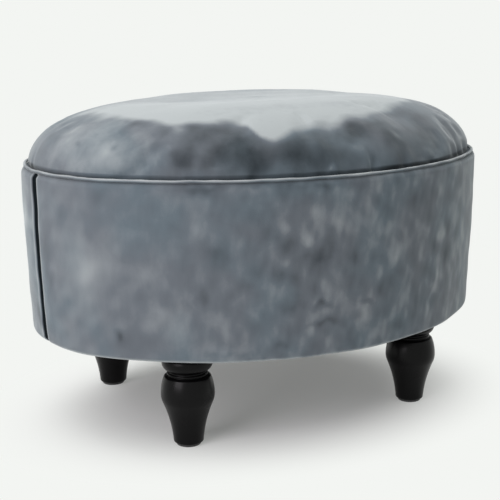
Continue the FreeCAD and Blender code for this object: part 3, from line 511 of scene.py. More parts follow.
def brushed_velvet(name):
    """Short pile velvet. Pile that leans away shows its pale side, pile that leans towards the eye its
    dark depth. Hand marks come with the piece, and with them painted highlights and painted shade in
    the same pale and dark colours; clouds, patches and short upright streaks are added to them. The
    dye is a little uneven too. The tips catch the light at the edges of the shape, which is the sheen.
    The pile itself, 0.3 mm, is drawn 1.4 mm coarse so that it shows."""
    material, tree, place = start_material(name)
    laid = add(tree, "Attribute", attribute_name="pile_lay_and_painted_light").outputs["Fac"]
    clouds = add(tree, "TexNoise", {"Vector": place, "Scale": 1000 / CLOUD_MM, "Detail": 2.0,
                                    "Distortion": 0.4}).outputs["Fac"]
    patches = add(tree, "TexNoise", {"Vector": place, "Scale": 1000 / PATCH_MM, "Detail": 4.0,
                                     "Roughness": 0.6, "Distortion": 0.5}).outputs["Fac"]
    upright = add(tree, "Mapping", {"Vector": place, "Scale": (1.0, 1.0, 0.4)}).outputs["Vector"]
    streaks = add(tree, "TexNoise", {"Vector": upright, "Scale": 1000 / STREAK_MM,
                                     "Detail": 3.0}).outputs["Fac"]
    pile = add(tree, "TexNoise", {"Vector": place, "Scale": 1000 / PILE_MM, "Detail": 2.0}).outputs["Fac"]
    handled = add(tree, "Attribute", attribute_name="pile_handled").outputs["Fac"]
    lay = laid
    for field, share in ((clouds, 0.42), (patches, 0.5), (streaks, 0.38)):
        around = add(tree, "Math", {0: field, 1: 0.5}, operation="SUBTRACT").outputs[0]
        around = add(tree, "Math", {0: around, 1: handled}, operation="MULTIPLY").outputs[0]
        lay = add(tree, "Math", {0: around, 1: share, 2: lay}, operation="MULTIPLY_ADD").outputs[0]
    tint = add(tree, "TexNoise", {"Vector": place, "Scale": 1000 / TINT_MM, "Detail": 2.0}).outputs["Fac"]
    cool = add(tree, "MapRange", {"Value": tint, "From Min": 0.42, "From Max": 0.62}).outputs["Result"]
    even = add(tree, "Mix", {0: cool, 6: "#6a7177", 7: "#667279"}, data_type="RGBA").outputs[2]
    # The dark colour paints pile that leans to the eye, and also painted shade in the seam's ditch and where
    # the seat dips behind the welt; the pale colour paints pile that leans away, and also painted highlights
    # on the folded edges, the lower edge, the welt and, in part, the crown.
    dark_pile_and_shade = add(tree, "MapRange", {"Value": lay, "From Min": -1.3, "From Max": 0.0}).outputs["Result"]
    pale_pile_and_highlight = add(tree, "MapRange", {"Value": lay, "From Min": 0.0, "From Max": 1.0}).outputs["Result"]
    shade = add(tree, "Mix", {0: dark_pile_and_shade, 6: "#141c20", 7: even}, data_type="RGBA").outputs[2]
    shade = add(tree, "Mix", {0: pale_pile_and_highlight, 6: shade, 7: "#b0b7b7"}, data_type="RGBA").outputs[2]
    relief = add(tree, "Bump", {"Height": pile, "Strength": 0.25, "Distance": 0.0006}).outputs["Normal"]
    surface = add(tree, "BsdfPrincipled", {"Base Color": shade, "Roughness": 0.9,
                                           "Specular IOR Level": 0.12, "Sheen Weight": 0.7,
                                           "Sheen Roughness": 0.4, "Sheen Tint": "#e0e6e6",
                                           "Normal": relief})
    add(tree, "OutputMaterial", {"Surface": surface.outputs["BSDF"]})
    return material


velvet_brushed = brushed_velvet("velvet_brushed")


def seam_angle(y):
    """The normal's angle at the right end of the drum for a place across it."""
    return math.asin(y / END_RADIUS)


PANEL_PROFILE = side_profile()
front_edge = seam_angle(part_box("band_front")[1].y)
back_edge = seam_angle(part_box("band_front")[1].y + SEAM_GAP)
for place, start, stop, strokes in (
    ("front", math.pi - front_edge, 2 * math.pi + front_edge, FRONT_STROKES),
    ("back", back_edge, math.pi - back_edge, chance_strokes(61, 46, 700, 105, 270) - (470, 0, 0, 0, 0, 0)),
):
    points, way, ditch = panel_points(start, stop, PANEL_PROFILE)
    height = points[..., 2]
    # the pile is more handled and finely mottled further from the left end; the painted light of the
    # folds and the ditch is added, and a painted highlight along the lower edge
    worked = 0.17 * unevenness(way, 0.7 * height, 0, 58, 40, 0.034, 0.007)
    handled = np.clip(0.25 + np.abs(way - 0.08) / 0.27, 0.25, 1)
    marks = hand_marks(way, height, strokes) + worked * np.clip((way - 0.12) / 0.2, 0.1, 1) + ditch
    marks = marks + PAINTED_HEM_HIGHLIGHT * np.exp(-((height - DRUM_BOTTOM) / PAINTED_HEM_HIGHLIGHT_WIDTH - 1) ** 2)
    panel = fill_mesh(f"velvet_panel_{place}", points, quads(*points.shape[:2])[:, ::-1])
    lay_pile(panel, marks, handled)
    cloth = panel.modifiers.new("thickness", "SOLIDIFY")
    cloth.thickness = VELVET
    cloth.offset = -1
    panel.data.materials.append(velvet_brushed)
    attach(panel, "root")
    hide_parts(f"band_{place}")

# Foam on the side of the drum
# Two strips of 5 mm foam are glued to the hardboard. They round off its edges, and the velvet's
# folded ends press a groove into them at each seam.
FOAM = 5.0 * MM
FOAM_FACE = 1.4 * MM
GROOVE_DEPTH, GROOVE_HALF = 4.7 * MM, 10.0 * MM
GROOVE_SHORTENS = 0.09
FOAM_CELL_MM = 1.0


def foam_profile():
    """A strip's closed section as (inset, height): the face, which leans and swells as the velvet does
    and falls away with a square at its two edges, and the straight back."""
    low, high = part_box("padding_front")
    rise = np.linspace(0, 1, 40)
    lean = LEAN * (1 - rise)
    near = FOAM_FACE + lean - 4 * SWELL * rise * (1 - rise)
    near = near + FOAM * np.clip(1 - np.minimum(rise, 1 - rise) / 0.02, 0, 1) ** 2
    height = low.z + (high.z - low.z) * rise
    back = FOAM_FACE + FOAM + LEAN * (1 - rise[::-1])
    return np.concatenate([np.stack([near, height], axis=1), np.stack([back, height[::-1]], axis=1)])


def strip_points(start, stop, profile):
    """A foam strip carried round the drum, closed at both ends on the middle of its section. At a seam
    its face sinks by the groove's depth over one plus the tenth power of the place across it."""
    fine, gone = travel(start, stop)
    along = np.linspace(0, gone[-1], int(gone[-1] / (2 * CELL)))
    turn = np.interp(along, gone, fine)
    inset, height = profile[:, :1], profile[:, 1:]
    groove = np.zeros_like(turn)
    ditch = (front_edge + back_edge) / 2
    for seam in (ditch, math.pi - ditch, 2 * math.pi + ditch):
        gap = np.abs(turn - seam) * END_RADIUS
        groove = groove + GROOVE_DEPTH / (1 + (gap / GROOVE_HALF) ** 10)
    face = np.arange(len(profile))[:, None] < len(profile) // 2
    x, y = oval(turn, inset + groove * face)
    middle = height.mean()
    shorter = 1 - GROOVE_SHORTENS * groove / GROOVE_DEPTH
    points = np.stack([x, y, middle + (height - middle) * shorter], axis=-1)
    ends = points[:, [0, -1]].mean(axis=0)
    capped = np.concatenate([0 * points[:, :1] + ends[0], points, 0 * points[:, :1] + ends[1]], axis=1)
    return capped.transpose(1, 0, 2)


def open_foam(name):
    """Open cell foam: a dull pale yellow, pitted with cells of about 1 mm."""
    material, tree, place = start_material(name)
    cells = add(tree, "TexVoronoi", {"Vector": place, "Scale": 1000 / FOAM_CELL_MM}).outputs["Distance"]
    wall = add(tree, "MapRange", {"Value": cells, "From Min": 0.2, "From Max": 0.7}).outputs["Result"]
    shade = add(tree, "Mix", {0: wall, 6: "#efe6c4", 7: "#d6c999"}, data_type="RGBA").outputs[2]
    relief = add(tree, "Bump", {"Height": cells, "Strength": 0.4, "Distance": 0.0005}).outputs["Normal"]
    surface = add(tree, "BsdfPrincipled", {"Base Color": shade, "Roughness": 0.95, "Normal": relief})
    add(tree, "OutputMaterial", {"Surface": surface.outputs["BSDF"]})
    return material


foam_open_cell = open_foam("foam_open_cell")
FOAM_SECTION = foam_profile()
foam_joint = seam_angle((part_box("padding_front")[1].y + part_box("padding_back")[0].y) / 2)
half_gap = 0.25 * MM / END_RADIUS
for place, start, stop in (
    ("front", math.pi - foam_joint + half_gap, 2 * math.pi + foam_joint - half_gap),
    ("back", foam_joint + half_gap, math.pi - foam_joint - half_gap),
):
    points = strip_points(start, stop, FOAM_SECTION)
    strip = fill_mesh(f"side_foam_{place}", points, quads(*points.shape[:2], True)[:, ::-1])
    strip.data.materials.append(foam_open_cell)
    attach(strip, "root")
    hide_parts(f"padding_{place}")

# Seat pad
# A block of foam, a layer of polyester wadding and a velvet cover drawn down over both and turned in
# under the seat board. The cloth has more length round the edge than the seam has, so it puckers.
PAD_LOW, PAD_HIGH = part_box("seat_cover")
PAD_INSET = DRUM_LENGTH / 2 - PAD_HIGH.x
CROWN_END = 35.0 * MM
CROWN_RISE = 0.6 * MM
EDGE_ROUND = 1.5 * MM
SHOULDER = END_RADIUS - PAD_INSET - CROWN_END
HEM = 22.0 * MM
SEAT_CELL = 2.8 * MM
HEM_ROWS, CORNER_ROWS, CLIMB_ROWS, CROWN_ROWS = 5, 7, 55, 25
SEAM_ROW = HEM_ROWS + CORNER_ROWS - 2
FOAM_UNEVEN, FOAM_EVEN_BELOW = 0.8 * MM, 20 * MM
STUFFING_UNEVEN = 0.15 * MM
# Painted shade: a dark line on the seat's lowest few millimetres, where it dips behind the welt.
PAINTED_DIP_SHADE_TOP, PAINTED_DIP_SHADE_FADE = 5.2 * MM, 1.7 * MM
SEAT_HANDLED = 0.85
STRAND_MM = 4


def dome_points(layer, low, hem, detail):
    """A dome over the oval at a depth under the cover's face: a hem that runs in under its edge, a
    small rounded corner, a quarter ellipse up to the crown, and the crown drawn in to its middle.
    The foam under it is a little uneven, less so near the seam. Returns the way round, the length up
    from the seam's row, the normal's angle and the points."""
    climb_height = PAD_HIGH.z - CROWN_RISE - PAD_LOW.z - layer
    fine, gone = travel(math.pi, 3 * math.pi)
    way = np.linspace(0, gone[-1], int(gone[-1] / detail) + 1)[:-1]
    turn = np.interp(way, gone, fine)
    corner = np.radians(np.linspace(-90, 0, CORNER_ROWS))
    share = np.linspace(0, 1, CROWN_ROWS + 1)[1:, None]
    first = math.asin((low + EDGE_ROUND - PAD_LOW.z) / climb_height)
    climb = np.linspace(first, math.pi / 2, CLIMB_ROWS + 1)
    side = PAD_INSET + layer + SHOULDER * (1 - np.cos(climb))
    depth = np.concatenate([side[0] + np.linspace(hem, EDGE_ROUND, HEM_ROWS + 1)[:-1],
                            side[0] + EDGE_ROUND * (1 - np.cos(corner)), side[1:]])
    height = np.concatenate([np.full(HEM_ROWS, low), low + EDGE_ROUND * (1 + np.sin(corner)),
                             PAD_LOW.z + climb_height * np.sin(climb[1:])])
    x, y = oval(turn, depth[:, None])
    z = height[:, None] + 0 * turn
    x, y = np.concatenate([x, x[-1:] * (1 - share)]), np.concatenate([y, y[-1:] * (1 - share)])
    z = np.concatenate([z, z[-1:] + CROWN_RISE * share * (2 - share)])
    steps = np.hypot(np.diff(depth), np.diff(height))[SEAM_ROW:]
    rise = np.concatenate([np.zeros(SEAM_ROW + 1), np.cumsum(steps)])
    rise = np.concatenate([rise, rise[-1] + CROWN_END * share[:, 0]])[:, None]
    above = np.clip((z - PAD_LOW.z) / FOAM_EVEN_BELOW, 0, 1)
    z = z + FOAM_UNEVEN * unevenness(x, y, 0 * z, 21, 12, 0.220, 0.090) * above
    return way + 0 * z, rise + 0 * z, turn, np.stack([x, y, z], axis=-1)


# Puckers that the seam gathers: the way round from the left end, the depth, the width and the
# reach up from the seam in millimetres, and the side on which the cloth stands up in a ridge.
PUCKERS = [(393, 1.7, 4.5, 20, -1), (343, 0.9, 3.0, 9, 1), (558, 1.8, 5.0, 12, -1), (436, 0.5, 6.0, 16, 1),
           (268, 0.5, 7.0, 14, -1), (196, 0.4, 8.0, 12, 1)]
pucker_draw = np.random.default_rng(5)
for _ in range(34):
    PUCKERS.append((pucker_draw.uniform(600, 1440), pucker_draw.uniform(0.2, 1.2), pucker_draw.uniform(3, 7),
                    pucker_draw.uniform(8, 18), pucker_draw.choice([-1, 1])))

# Hand marks on the seat, as on the front panel, by the way round and the length up from the seam.
SEAT_STROKES = np.array([
    (90, 38, 70, 32, 0, 0.40), (218, 34, 38, 24, 0, -0.30),
    (4, 39, 24, 9, 0, -0.30), (-6, 17, 20, 6, 0, -0.22), (132, 72, 13, 8, 0, -0.60),
    (120, 56, 7, 11, 0, -0.35), (170, 54, 7, 16, 0.3, -0.55), (194, 22, 15, 8, 0, -1.10),
    (214, 52, 15, 12, 0, -0.65), (229, 28, 12, 11, 0, -0.55), (249, 45, 13, 13, 0, -0.65),
    (267, 19, 9, 12, 0, -0.90), (182, 60, 9, 6, 0, 0.25), (98, 18, 30, 10, 0, 0.15),
    (70, 35, 5, 3, 0, -0.35), (122, 33, 6, 4, 0, -0.25), (43, 51, 16, 5, 0, 0.25),
    (302, 28, 30, 11, 0, -0.85), (268, 21, 15, 10, 0, -0.60), (332, 24, 22, 12, 0, -0.75),
    (384, 46, 28, 10, 0, -0.65), (420, 56, 26, 7, 0, -0.60), (432, 36, 14, 15, 0, -0.60),
    (393, 14, 5, 10, 0, -0.55), (386, 12, 2.5, 8, 0, 0.50), (436, 16, 12, 8, 0, -0.20),
    (384, 30, 14, 8, 0, 0.22), (488, 72, 30, 8, 0, -0.45), (560, 47, 40, 6, 0, 0.25),
    (545, 29, 22, 9, 0, -0.25), (571, 15, 17, 6, 0, 0.20), (378, 136, 24, 4, 0, -0.15),
    (284, 56, 18, 13, 0, 0.75), (343, 7, 3, 3, 0, 0.60), (470, 34, 30, 18, 0, -0.45),
    (520, 45, 34, 26, 0, -0.40), (300, 15, 90, 14, 0, -0.22), (400, 12, 80, 14, 0, -0.20),
    (330, 45, 30, 9, 0, -0.40), (240, 62, 22, 7, 0, -0.45), (205, 64, 14, 6, 0, -0.35),
    (250, 30, 50, 22, 0, -0.35),
])
# The line above which the seat turns pale, its pile brushed away and a painted highlight of the light
# from above laid on it, as (way round, length up from the seam).
PALE_CROWN_LINE = np.array([(0, 84), (93, 84), (132, 82), (156, 78), (213, 71), (262, 68), (276, 48), (290, 46),
                         (306, 52), (335, 62), (364, 66), (444, 74), (500, 90), (560, 84), (640, 92),
                         (760, 78), (850, 66), (960, 88), (1080, 74), (1200, 92), (1330, 80), (1447, 84)])


def pucker_lift(way, rise, length):
    """How far the puckers push the cloth out (+) or draw it in (-): for each, a bell curve of valley
    beside one of ridge, which fades above the seam."""
    lift = 0 * way
    for at, deep, wide, reach, ridge in PUCKERS:
        gap = ((way - at * MM + length / 2) % length - length / 2) / (wide * MM)
        fold = 0.55 * np.exp(-(gap - 1.7 * ridge) ** 2) - np.exp(-gap ** 2)
        up = rise / (reach * MM)
        lift = lift + deep * MM * fold * np.exp(-up ** 1.5) * np.clip(rise / (2 * MM), 0, 1)
    return lift


def seat_marks(way, rise, x, y, length):
    """How pale or dark the seat's pile lies: hand marks round its side, which give way to the pale
    crown across an edge that wanders, narrow in front and broad behind, and painted shade in a dark
    line where the seat dips behind the welt. The pale crown is partly pile brushed away and partly a
    painted highlight of the light from above."""
    far = np.clip((way - 0.62) / 0.03, 0, 1) * np.clip((length - way) / 0.03, 0, 1)
    unseen = chance_strokes(62, 40, 830, 5, 80) + (620, 0, 0, 0, 0, 0)
    marks = hand_marks(way, rise, SEAT_STROKES) * (1 - far) + hand_marks(way, rise, unseen) * far
    line = np.interp(way, PALE_CROWN_LINE[:, 0] * MM, PALE_CROWN_LINE[:, 1] * MM)
    wander = 5 * MM * unevenness(way, 0 * way, 0, 55, 12, 0.090, 0.026)
    behind = np.clip((y + 0.02) / 0.12, 0, 1)
    edge = (21 + 7 * unevenness(way, 0 * way, 0, 56, 8, 0.160, 0.050)) * MM
    edge = np.clip(edge, 12 * MM, 36 * MM) + 45 * MM * behind
    away = np.clip((rise - line - wander) / edge + 0.5 - 0.25 * behind, 0, 1)
    away = away * away * (3 - 2 * away)
    cloud = 0.10 * unevenness(x, 3 * y, 0, 57, 14, 0.260, 0.060)
    # The pale crown is partly brushed pile and partly a painted highlight of the light from above, toned
    # down behind.
    crown = 1.08 - 0.15 * np.clip((rise - line) / (90 * MM), 0, 1) - 0.55 * behind + cloud
    # Painted shade along the seat's foot behind the welt, stronger from 0.3 m round.
    painted_dip_shade = np.clip((PAINTED_DIP_SHADE_TOP - rise) / PAINTED_DIP_SHADE_FADE, 0, 1) * (0.6 + 0.5 * np.clip((way - 0.30) / 0.10, 0, 1))
    return marks * (1 - 0.75 * away) + crown * away - painted_dip_shade


def cover_points():
    """The cover: the dome, pushed out or in along its outline's normal where the stuffing is uneven
    and at the puckers. Returns the points and how the pile lies on each, with its painted light and shade."""
    way, rise, turn, points = dome_points(0, PAD_LOW.z, HEM, SEAT_CELL)
    x, y, z = points[..., 0], points[..., 1], points[..., 2]
    length = way[0, -1] + SEAT_CELL
    lift = STUFFING_UNEVEN * unevenness(x, y, z, 22, 16, 0.060, 0.025) * np.clip(rise / (10 * MM), 0, 1)
    lift = lift + pucker_lift(way, rise, length)
    reach = np.stack([lift * np.cos(turn), lift * np.sin(turn), 0 * z], axis=-1)
    return points + reach, seat_marks(way, rise, x, y, length)


ROW_STEP, COLUMN_STEP = 3, 4
SETTLED_CAP = 1.5 * MM
SETTLING_FRAMES = 20


def run_as_cloth(grid):
    """Where the points of a closed grid end up when they are run as cloth, held along the first row,
    with a little length to spare, and pressed out from inside."""
    rows, columns = grid.shape[:2]
    mesh = bpy.data.meshes.new("settling_cloth")
    mesh.from_pydata(grid.reshape(-1, 3).tolist(), [], quads(rows, columns, True).tolist())
    cloth_copy = bpy.data.objects.new("settling_cloth", mesh)
    bpy.context.scene.collection.objects.link(cloth_copy)
    seam = cloth_copy.vertex_groups.new(name="seam")
    seam.add(list(range(columns)), 1.0, "REPLACE")
    run = cloth_copy.modifiers.new("cloth", "CLOTH")
    run.settings.quality = 6
    run.settings.vertex_group_mass = "seam"
    run.settings.tension_stiffness = 12
    run.settings.bending_stiffness = 0.4
    run.settings.shrink_min = -0.012
    run.settings.use_pressure = True
    run.settings.uniform_pressure_force = 4
    run.settings.effector_weights.gravity = 0
    run.collision_settings.use_collision = False
    run.point_cache.frame_start, run.point_cache.frame_end = 1, SETTLING_FRAMES
    for moment in range(1, SETTLING_FRAMES + 1):
        bpy.context.scene.frame_set(moment)
    ready = cloth_copy.evaluated_get(bpy.context.evaluated_depsgraph_get()).to_mesh()
    after = np.zeros(rows * columns * 3)
    ready.vertices.foreach_get("co", after)
    bpy.context.scene.frame_set(1)
    bpy.data.objects.remove(cloth_copy)
    bpy.data.meshes.remove(mesh)
    return after.reshape(rows, columns, 3)


def settled(points):
    """Lets the cover settle over its stuffing: every third row and fourth column from the seam up is
    run as cloth. Each row keeps its mean place, and every point moves by what its four nearest coarse
    points did, in proportion to how near they are, and by 1.5 mm at most."""
    coarse = points[SEAM_ROW:-1:ROW_STEP, ::COLUMN_STEP]
    rows, columns = coarse.shape[:2]
    moved = run_as_cloth(coarse) - coarse
    outward = coarse - coarse.mean(axis=1, keepdims=True)
    outward = outward / np.linalg.norm(outward, axis=2, keepdims=True)
    moved = moved - (moved * outward).sum(axis=2).mean(axis=1)[:, None, None] * outward
    moved[..., 2] -= moved[..., 2].mean(axis=1, keepdims=True)
    size = np.linalg.norm(moved, axis=2, keepdims=True)
    moved = moved * np.minimum(1, SETTLED_CAP / np.maximum(size, 1e-9))
    row = np.minimum(np.arange(len(points) - 1 - SEAM_ROW) / ROW_STEP, rows - 1)
    column = np.arange(points.shape[1]) / COLUMN_STEP
    low, left = np.minimum(row.astype(int), rows - 2), column.astype(int) % columns
    up, over = (row - low)[:, None, None], (column - column.astype(int))[None, :, None]
    right = (left + 1) % columns
    lower = moved[low][:, left] * (1 - over) + moved[low][:, right] * over
    upper = moved[low + 1][:, left] * (1 - over) + moved[low + 1][:, right] * over
    result = points.copy()
    result[SEAM_ROW:-1] += lower * (1 - up) + upper * up
    return result


points, marks = cover_points()
points = settled(points)
points[-1] = points[-1].mean(axis=0)
cover = fill_mesh("velvet_seat_cover", points, quads(*points.shape[:2], True))
lay_pile(cover, np.append(marks[:-1], marks[-1].mean()), SEAT_HANDLED)
cloth = cover.modifiers.new("thickness", "SOLIDIFY")
cloth.thickness = VELVET
cloth.offset = -1
cover.data.materials.append(velvet_brushed)
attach(cover, "root")
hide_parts("seat_cover")


def fibre_wadding(name):
    """Polyester wadding: white fibre that lies in loose, crossing strands, 4 mm apart. A rough white
    without gloss, shaded where the strands cross."""
    material, tree, place = start_material(name)
    strands = add(tree, "TexNoise", {"Vector": place, "Scale": 1000 / STRAND_MM, "Detail": 6.0,
                                     "Distortion": 2.5}).outputs["Fac"]
    shade = add(tree, "Mix", {0: strands, 6: "#f4f4f0", 7: "#d9d9d4"}, data_type="RGBA").outputs[2]
    relief = add(tree, "Bump", {"Height": strands, "Strength": 0.5, "Distance": 0.001}).outputs["Normal"]
    surface = add(tree, "BsdfPrincipled", {"Base Color": shade, "Roughness": 1.0, "Normal": relief})
    add(tree, "OutputMaterial", {"Surface": surface.outputs["BSDF"]})
    return material


wadding_polyester = fibre_wadding("wadding_polyester")
for name, node, layer, hem, finish, slot in (
    ("wadding_layer", "seat_wadding", 4.6 * MM, 6.0 * MM, wadding_polyester, "wadding"),
    ("foam_block", "seat_foam", 9.0 * MM, 12.0 * MM, foam_open_cell, "foam"),
):
    way, rise, turn, points = dome_points(layer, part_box(node)[0].z, hem, 2 * SEAT_CELL)
    layer_piece = fill_mesh(name, points, quads(*points.shape[:2], True))
    layer_piece.data.materials.append(finish)
    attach(layer_piece, "root")
    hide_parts(node)

# Welt
# A cotton cord in a narrow bias strip of the same velvet, sewn along the drum's top edge. A painted
# highlight along its top and painted shade under it draw a pale line under the seat, and it wanders a
# little.
WELT_LOW, WELT_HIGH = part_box("welt_cover")
WELT_HALF = (WELT_HIGH.z - WELT_LOW.z) / 2
WELT_INSET = DRUM_LENGTH / 2 - WELT_HIGH.x + WELT_HALF
WELT_Z = (WELT_HIGH.z + WELT_LOW.z) / 2
WELT_WANDER = 0.22 * MM
BIAS_SLEEVE = 0.6 * MM
LAY_MM = 1.8


def welt_points(radius, sides, wander):
    """A tube along the oval: circles of an uneven radius, about a line that wanders sideways and up."""
    fine, gone = travel(0, 2 * math.pi)
    way = np.linspace(0, gone[-1], int(gone[-1] / (1.5 * MM)) + 1)[:-1]
    turn = np.interp(way, gone, fine)[:, None]
    round_it = np.arange(sides) * 2 * math.pi / sides
    x, y = oval(turn, WELT_INSET)
    drift = wander * unevenness(x, y, 0, 31, 10, 0.090, 0.025)
    lift = wander * unevenness(x, y, 0, 32, 10, 0.080, 0.020)
    girth = radius * (1 + 0.05 * unevenness(x, y, 0, 33, 12, 0.020, 0.006))
    out = girth * np.cos(round_it) + drift
    return np.stack([x + out * np.cos(turn), y + out * np.sin(turn),
                     WELT_Z + lift + girth * np.sin(round_it)], axis=-1)


def laid_cotton(name):
    """Laid cotton cord: off-white, with strands that slant every 1.8 mm."""
    material, tree, place = start_material(name)
    strands = add(tree, "TexWave", {"Vector": place, "Scale": WAVE_STEP * 1000 / LAY_MM, "Distortion": 1.0},
                  bands_direction="DIAGONAL").outputs["Fac"]
    shade = add(tree, "Mix", {0: strands, 6: "#e2dccb", 7: "#c9c1ab"}, data_type="RGBA").outputs[2]
    relief = add(tree, "Bump", {"Height": strands, "Strength": 0.4, "Distance": 0.0004}).outputs["Normal"]
    surface = add(tree, "BsdfPrincipled", {"Base Color": shade, "Roughness": 0.9, "Normal": relief})
    add(tree, "OutputMaterial", {"Surface": surface.outputs["BSDF"]})
    return material


cotton_laid = laid_cotton("cotton_laid")
for name, node, radius, sides, finish, slot in (
    ("velvet_welt", "welt_cover", WELT_HALF, 14, velvet_brushed, "velvet"),
    ("welt_cord_core", "welt_cord", WELT_HALF - BIAS_SLEEVE, 8, cotton_laid, "cord"),
):
    points = welt_points(radius, sides, WELT_WANDER)
    tube = fill_mesh(name, points, quads(*points.shape[:2], True, True)[:, ::-1])
    # A painted highlight along the top of the welt and painted shade under it, with a random unevenness.
    painted_welt_light = np.clip(np.sin(np.arange(sides) * 2 * math.pi / sides + 0.3), -0.4, 1)
    wear = 0.30 * unevenness(points[..., 0], points[..., 1], 0, 34, 12, 0.110, 0.020)
    lay_pile(tube, painted_welt_light - 0.15 + wear, 0.5)
    tube.data.materials.append(finish)
    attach(tube, "root")
    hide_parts(node)

# Dust cover and its staples
# Black non-woven cloth closes the underside. It is cut short of the edge, folded and stapled through
# the turned-in velvet, and it is drawn a little slack between the feet.
CLOTH_LOW, CLOTH_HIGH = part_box("dust_cover")
CLOTH_INSET = DRUM_LENGTH / 2 - CLOTH_HIGH.x
STAPLE_PITCH = 28.0 * MM
STAPLE_WIDTH = 10.0 * MM
STAPLE_WIRE = 0.55 * MM
DOT_MM, FIBRE_MM = 2.0, 2.5


def underside_points():
    """The cloth over the oval, drawn in to its middle, with soft ripples."""
    fine, gone = travel(0, 2 * math.pi)
    turn = np.interp(np.linspace(0, gone[-1], 361)[:-1], gone, fine)
    share = np.linspace(1, 0, 60)[:, None]
    x, y = oval(turn, CLOTH_INSET)
    x, y = x * share, y * share
    slack = 0.5 * MM * unevenness(x, y, 0, 41, 16, 0.120, 0.035) * np.clip((1 - share) * 8, 0, 1)
    return np.stack([x, y, CLOTH_LOW.z - 0.2 * MM - np.abs(slack) + 0 * turn], axis=-1)


def spunbond(name):
    """Non-woven cloth: black polypropylene fibre, pressed with a grid of small dots 2 mm apart."""
    material, tree, place = start_material(name)
    dots = add(tree, "TexVoronoi", {"Vector": place, "Scale": 1000 / DOT_MM,
                                    "Randomness": 0.15}).outputs["Distance"]
    fibre = add(tree, "TexNoise", {"Vector": place, "Scale": 1000 / FIBRE_MM, "Detail": 6.0,
                                   "Distortion": 3.0}).outputs["Fac"]
    shade = add(tree, "Mix", {0: fibre, 6: "#161616", 7: "#2c2c2c"}, data_type="RGBA").outputs[2]
    pressed = add(tree, "MapRange", {"Value": dots, "From Min": 0.15, "From Max": 0.4}).outputs["Result"]
    height = add(tree, "Math", {0: pressed, 1: fibre}, operation="ADD").outputs[0]
    relief = add(tree, "Bump", {"Height": height, "Strength": 0.3, "Distance": 0.0003}).outputs["Normal"]
    surface = add(tree, "BsdfPrincipled", {"Base Color": shade, "Roughness": 0.8, "Normal": relief})
    add(tree, "OutputMaterial", {"Surface": surface.outputs["BSDF"]})
    return material


points = underside_points()
dust_cloth = fill_mesh("dust_cloth", points, quads(*points.shape[:2], True)[:, ::-1])
cloth = dust_cloth.modifiers.new("thickness", "SOLIDIFY")
cloth.thickness = CLOTH_HIGH.z - CLOTH_LOW.z
cloth.offset = -1
dust_cloth.data.materials.append(spunbond("polypropylene_spunbond"))
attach(dust_cloth, "root")
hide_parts("dust_cover")


def staple_points():
    """Every staple's crown: a flattened wire with bent ends, on one grid of five rings each."""
    fine, gone = travel(0, 2 * math.pi)
    count = int(gone[-1] / STAPLE_PITCH)
    turn = np.interp((np.arange(count) + 0.5) * gone[-1] / count, gone, fine)
    x, y = oval(turn, CLOTH_INSET + 5 * MM)
    along = np.array([-0.5, -0.5, -0.45, 0.45, 0.5, 0.5]) * STAPLE_WIDTH
    drop = np.array([1.6, 0.4, 0.0, 0.0, 0.4, 1.6]) * MM
    ring = np.radians(np.arange(6) * 60)
    across = STAPLE_WIRE * np.cos(ring)
    thick = 0.6 * STAPLE_WIRE * np.sin(ring)
    x, y, sine, cosine = (value[:, None, None] for value in (x, y, np.sin(turn), np.cos(turn)))
    px = x - sine * along[:, None] + cosine * across
    py = y + cosine * along[:, None] + sine * across
    pz = CLOTH_LOW.z - 0.9 * MM + drop[:, None] + thick + 0 * px
    return np.stack([px, py, pz], axis=-1)


points = staple_points()
one = quads(6, 6, True)[:, ::-1]
faces = (one[None] + 36 * np.arange(len(points))[:, None, None]).reshape(-1, 4)
staples = fill_mesh("dust_cover_staples", points, faces)
staples.data.materials.append(steel_zinc_plated)
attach(staples, "root")

# Studio
# A plain pale floor that curves up behind, soft boxes above and to the left, and a camera at the
# photograph's viewing angle.
FLOOR_HALF, FLOOR_FRONT, FLOOR_BACK, COVE, WALL = 4.0, -3.5, 2.6, 1.2, 3.4
PAPER_CLOUD_MM = 667
PAPER_WHITE = "#f3f5f2"


def sweep_points():
    """The studio sweep: a flat floor, a quarter circle and an upright wall."""
    curve = np.radians(np.linspace(0, 90, 25))
    y = np.concatenate([[FLOOR_FRONT], FLOOR_BACK + COVE * np.sin(curve), [FLOOR_BACK + COVE]])
    z = np.concatenate([[0], COVE * (1 - np.cos(curve)), [WALL]])
    x = np.array([-FLOOR_HALF, FLOOR_HALF])
    return np.stack([x + 0 * y[:, None], y[:, None] + 0 * x, z[:, None] + 0 * x], axis=-1)


def eye_rays(tree):
    """1 on the rays that the eye sees, straight or by mirror or glass, and 0 on those that only light."""
    path = add(tree, "LightPath").outputs
    seen = add(tree, "Math", {0: path["Is Camera Ray"], 1: path["Is Glossy Ray"]}, operation="MAXIMUM")
    return add(tree, "Math", {0: seen.outputs[0], 1: path["Is Transmission Ray"]},
               operation="MAXIMUM").outputs[0]


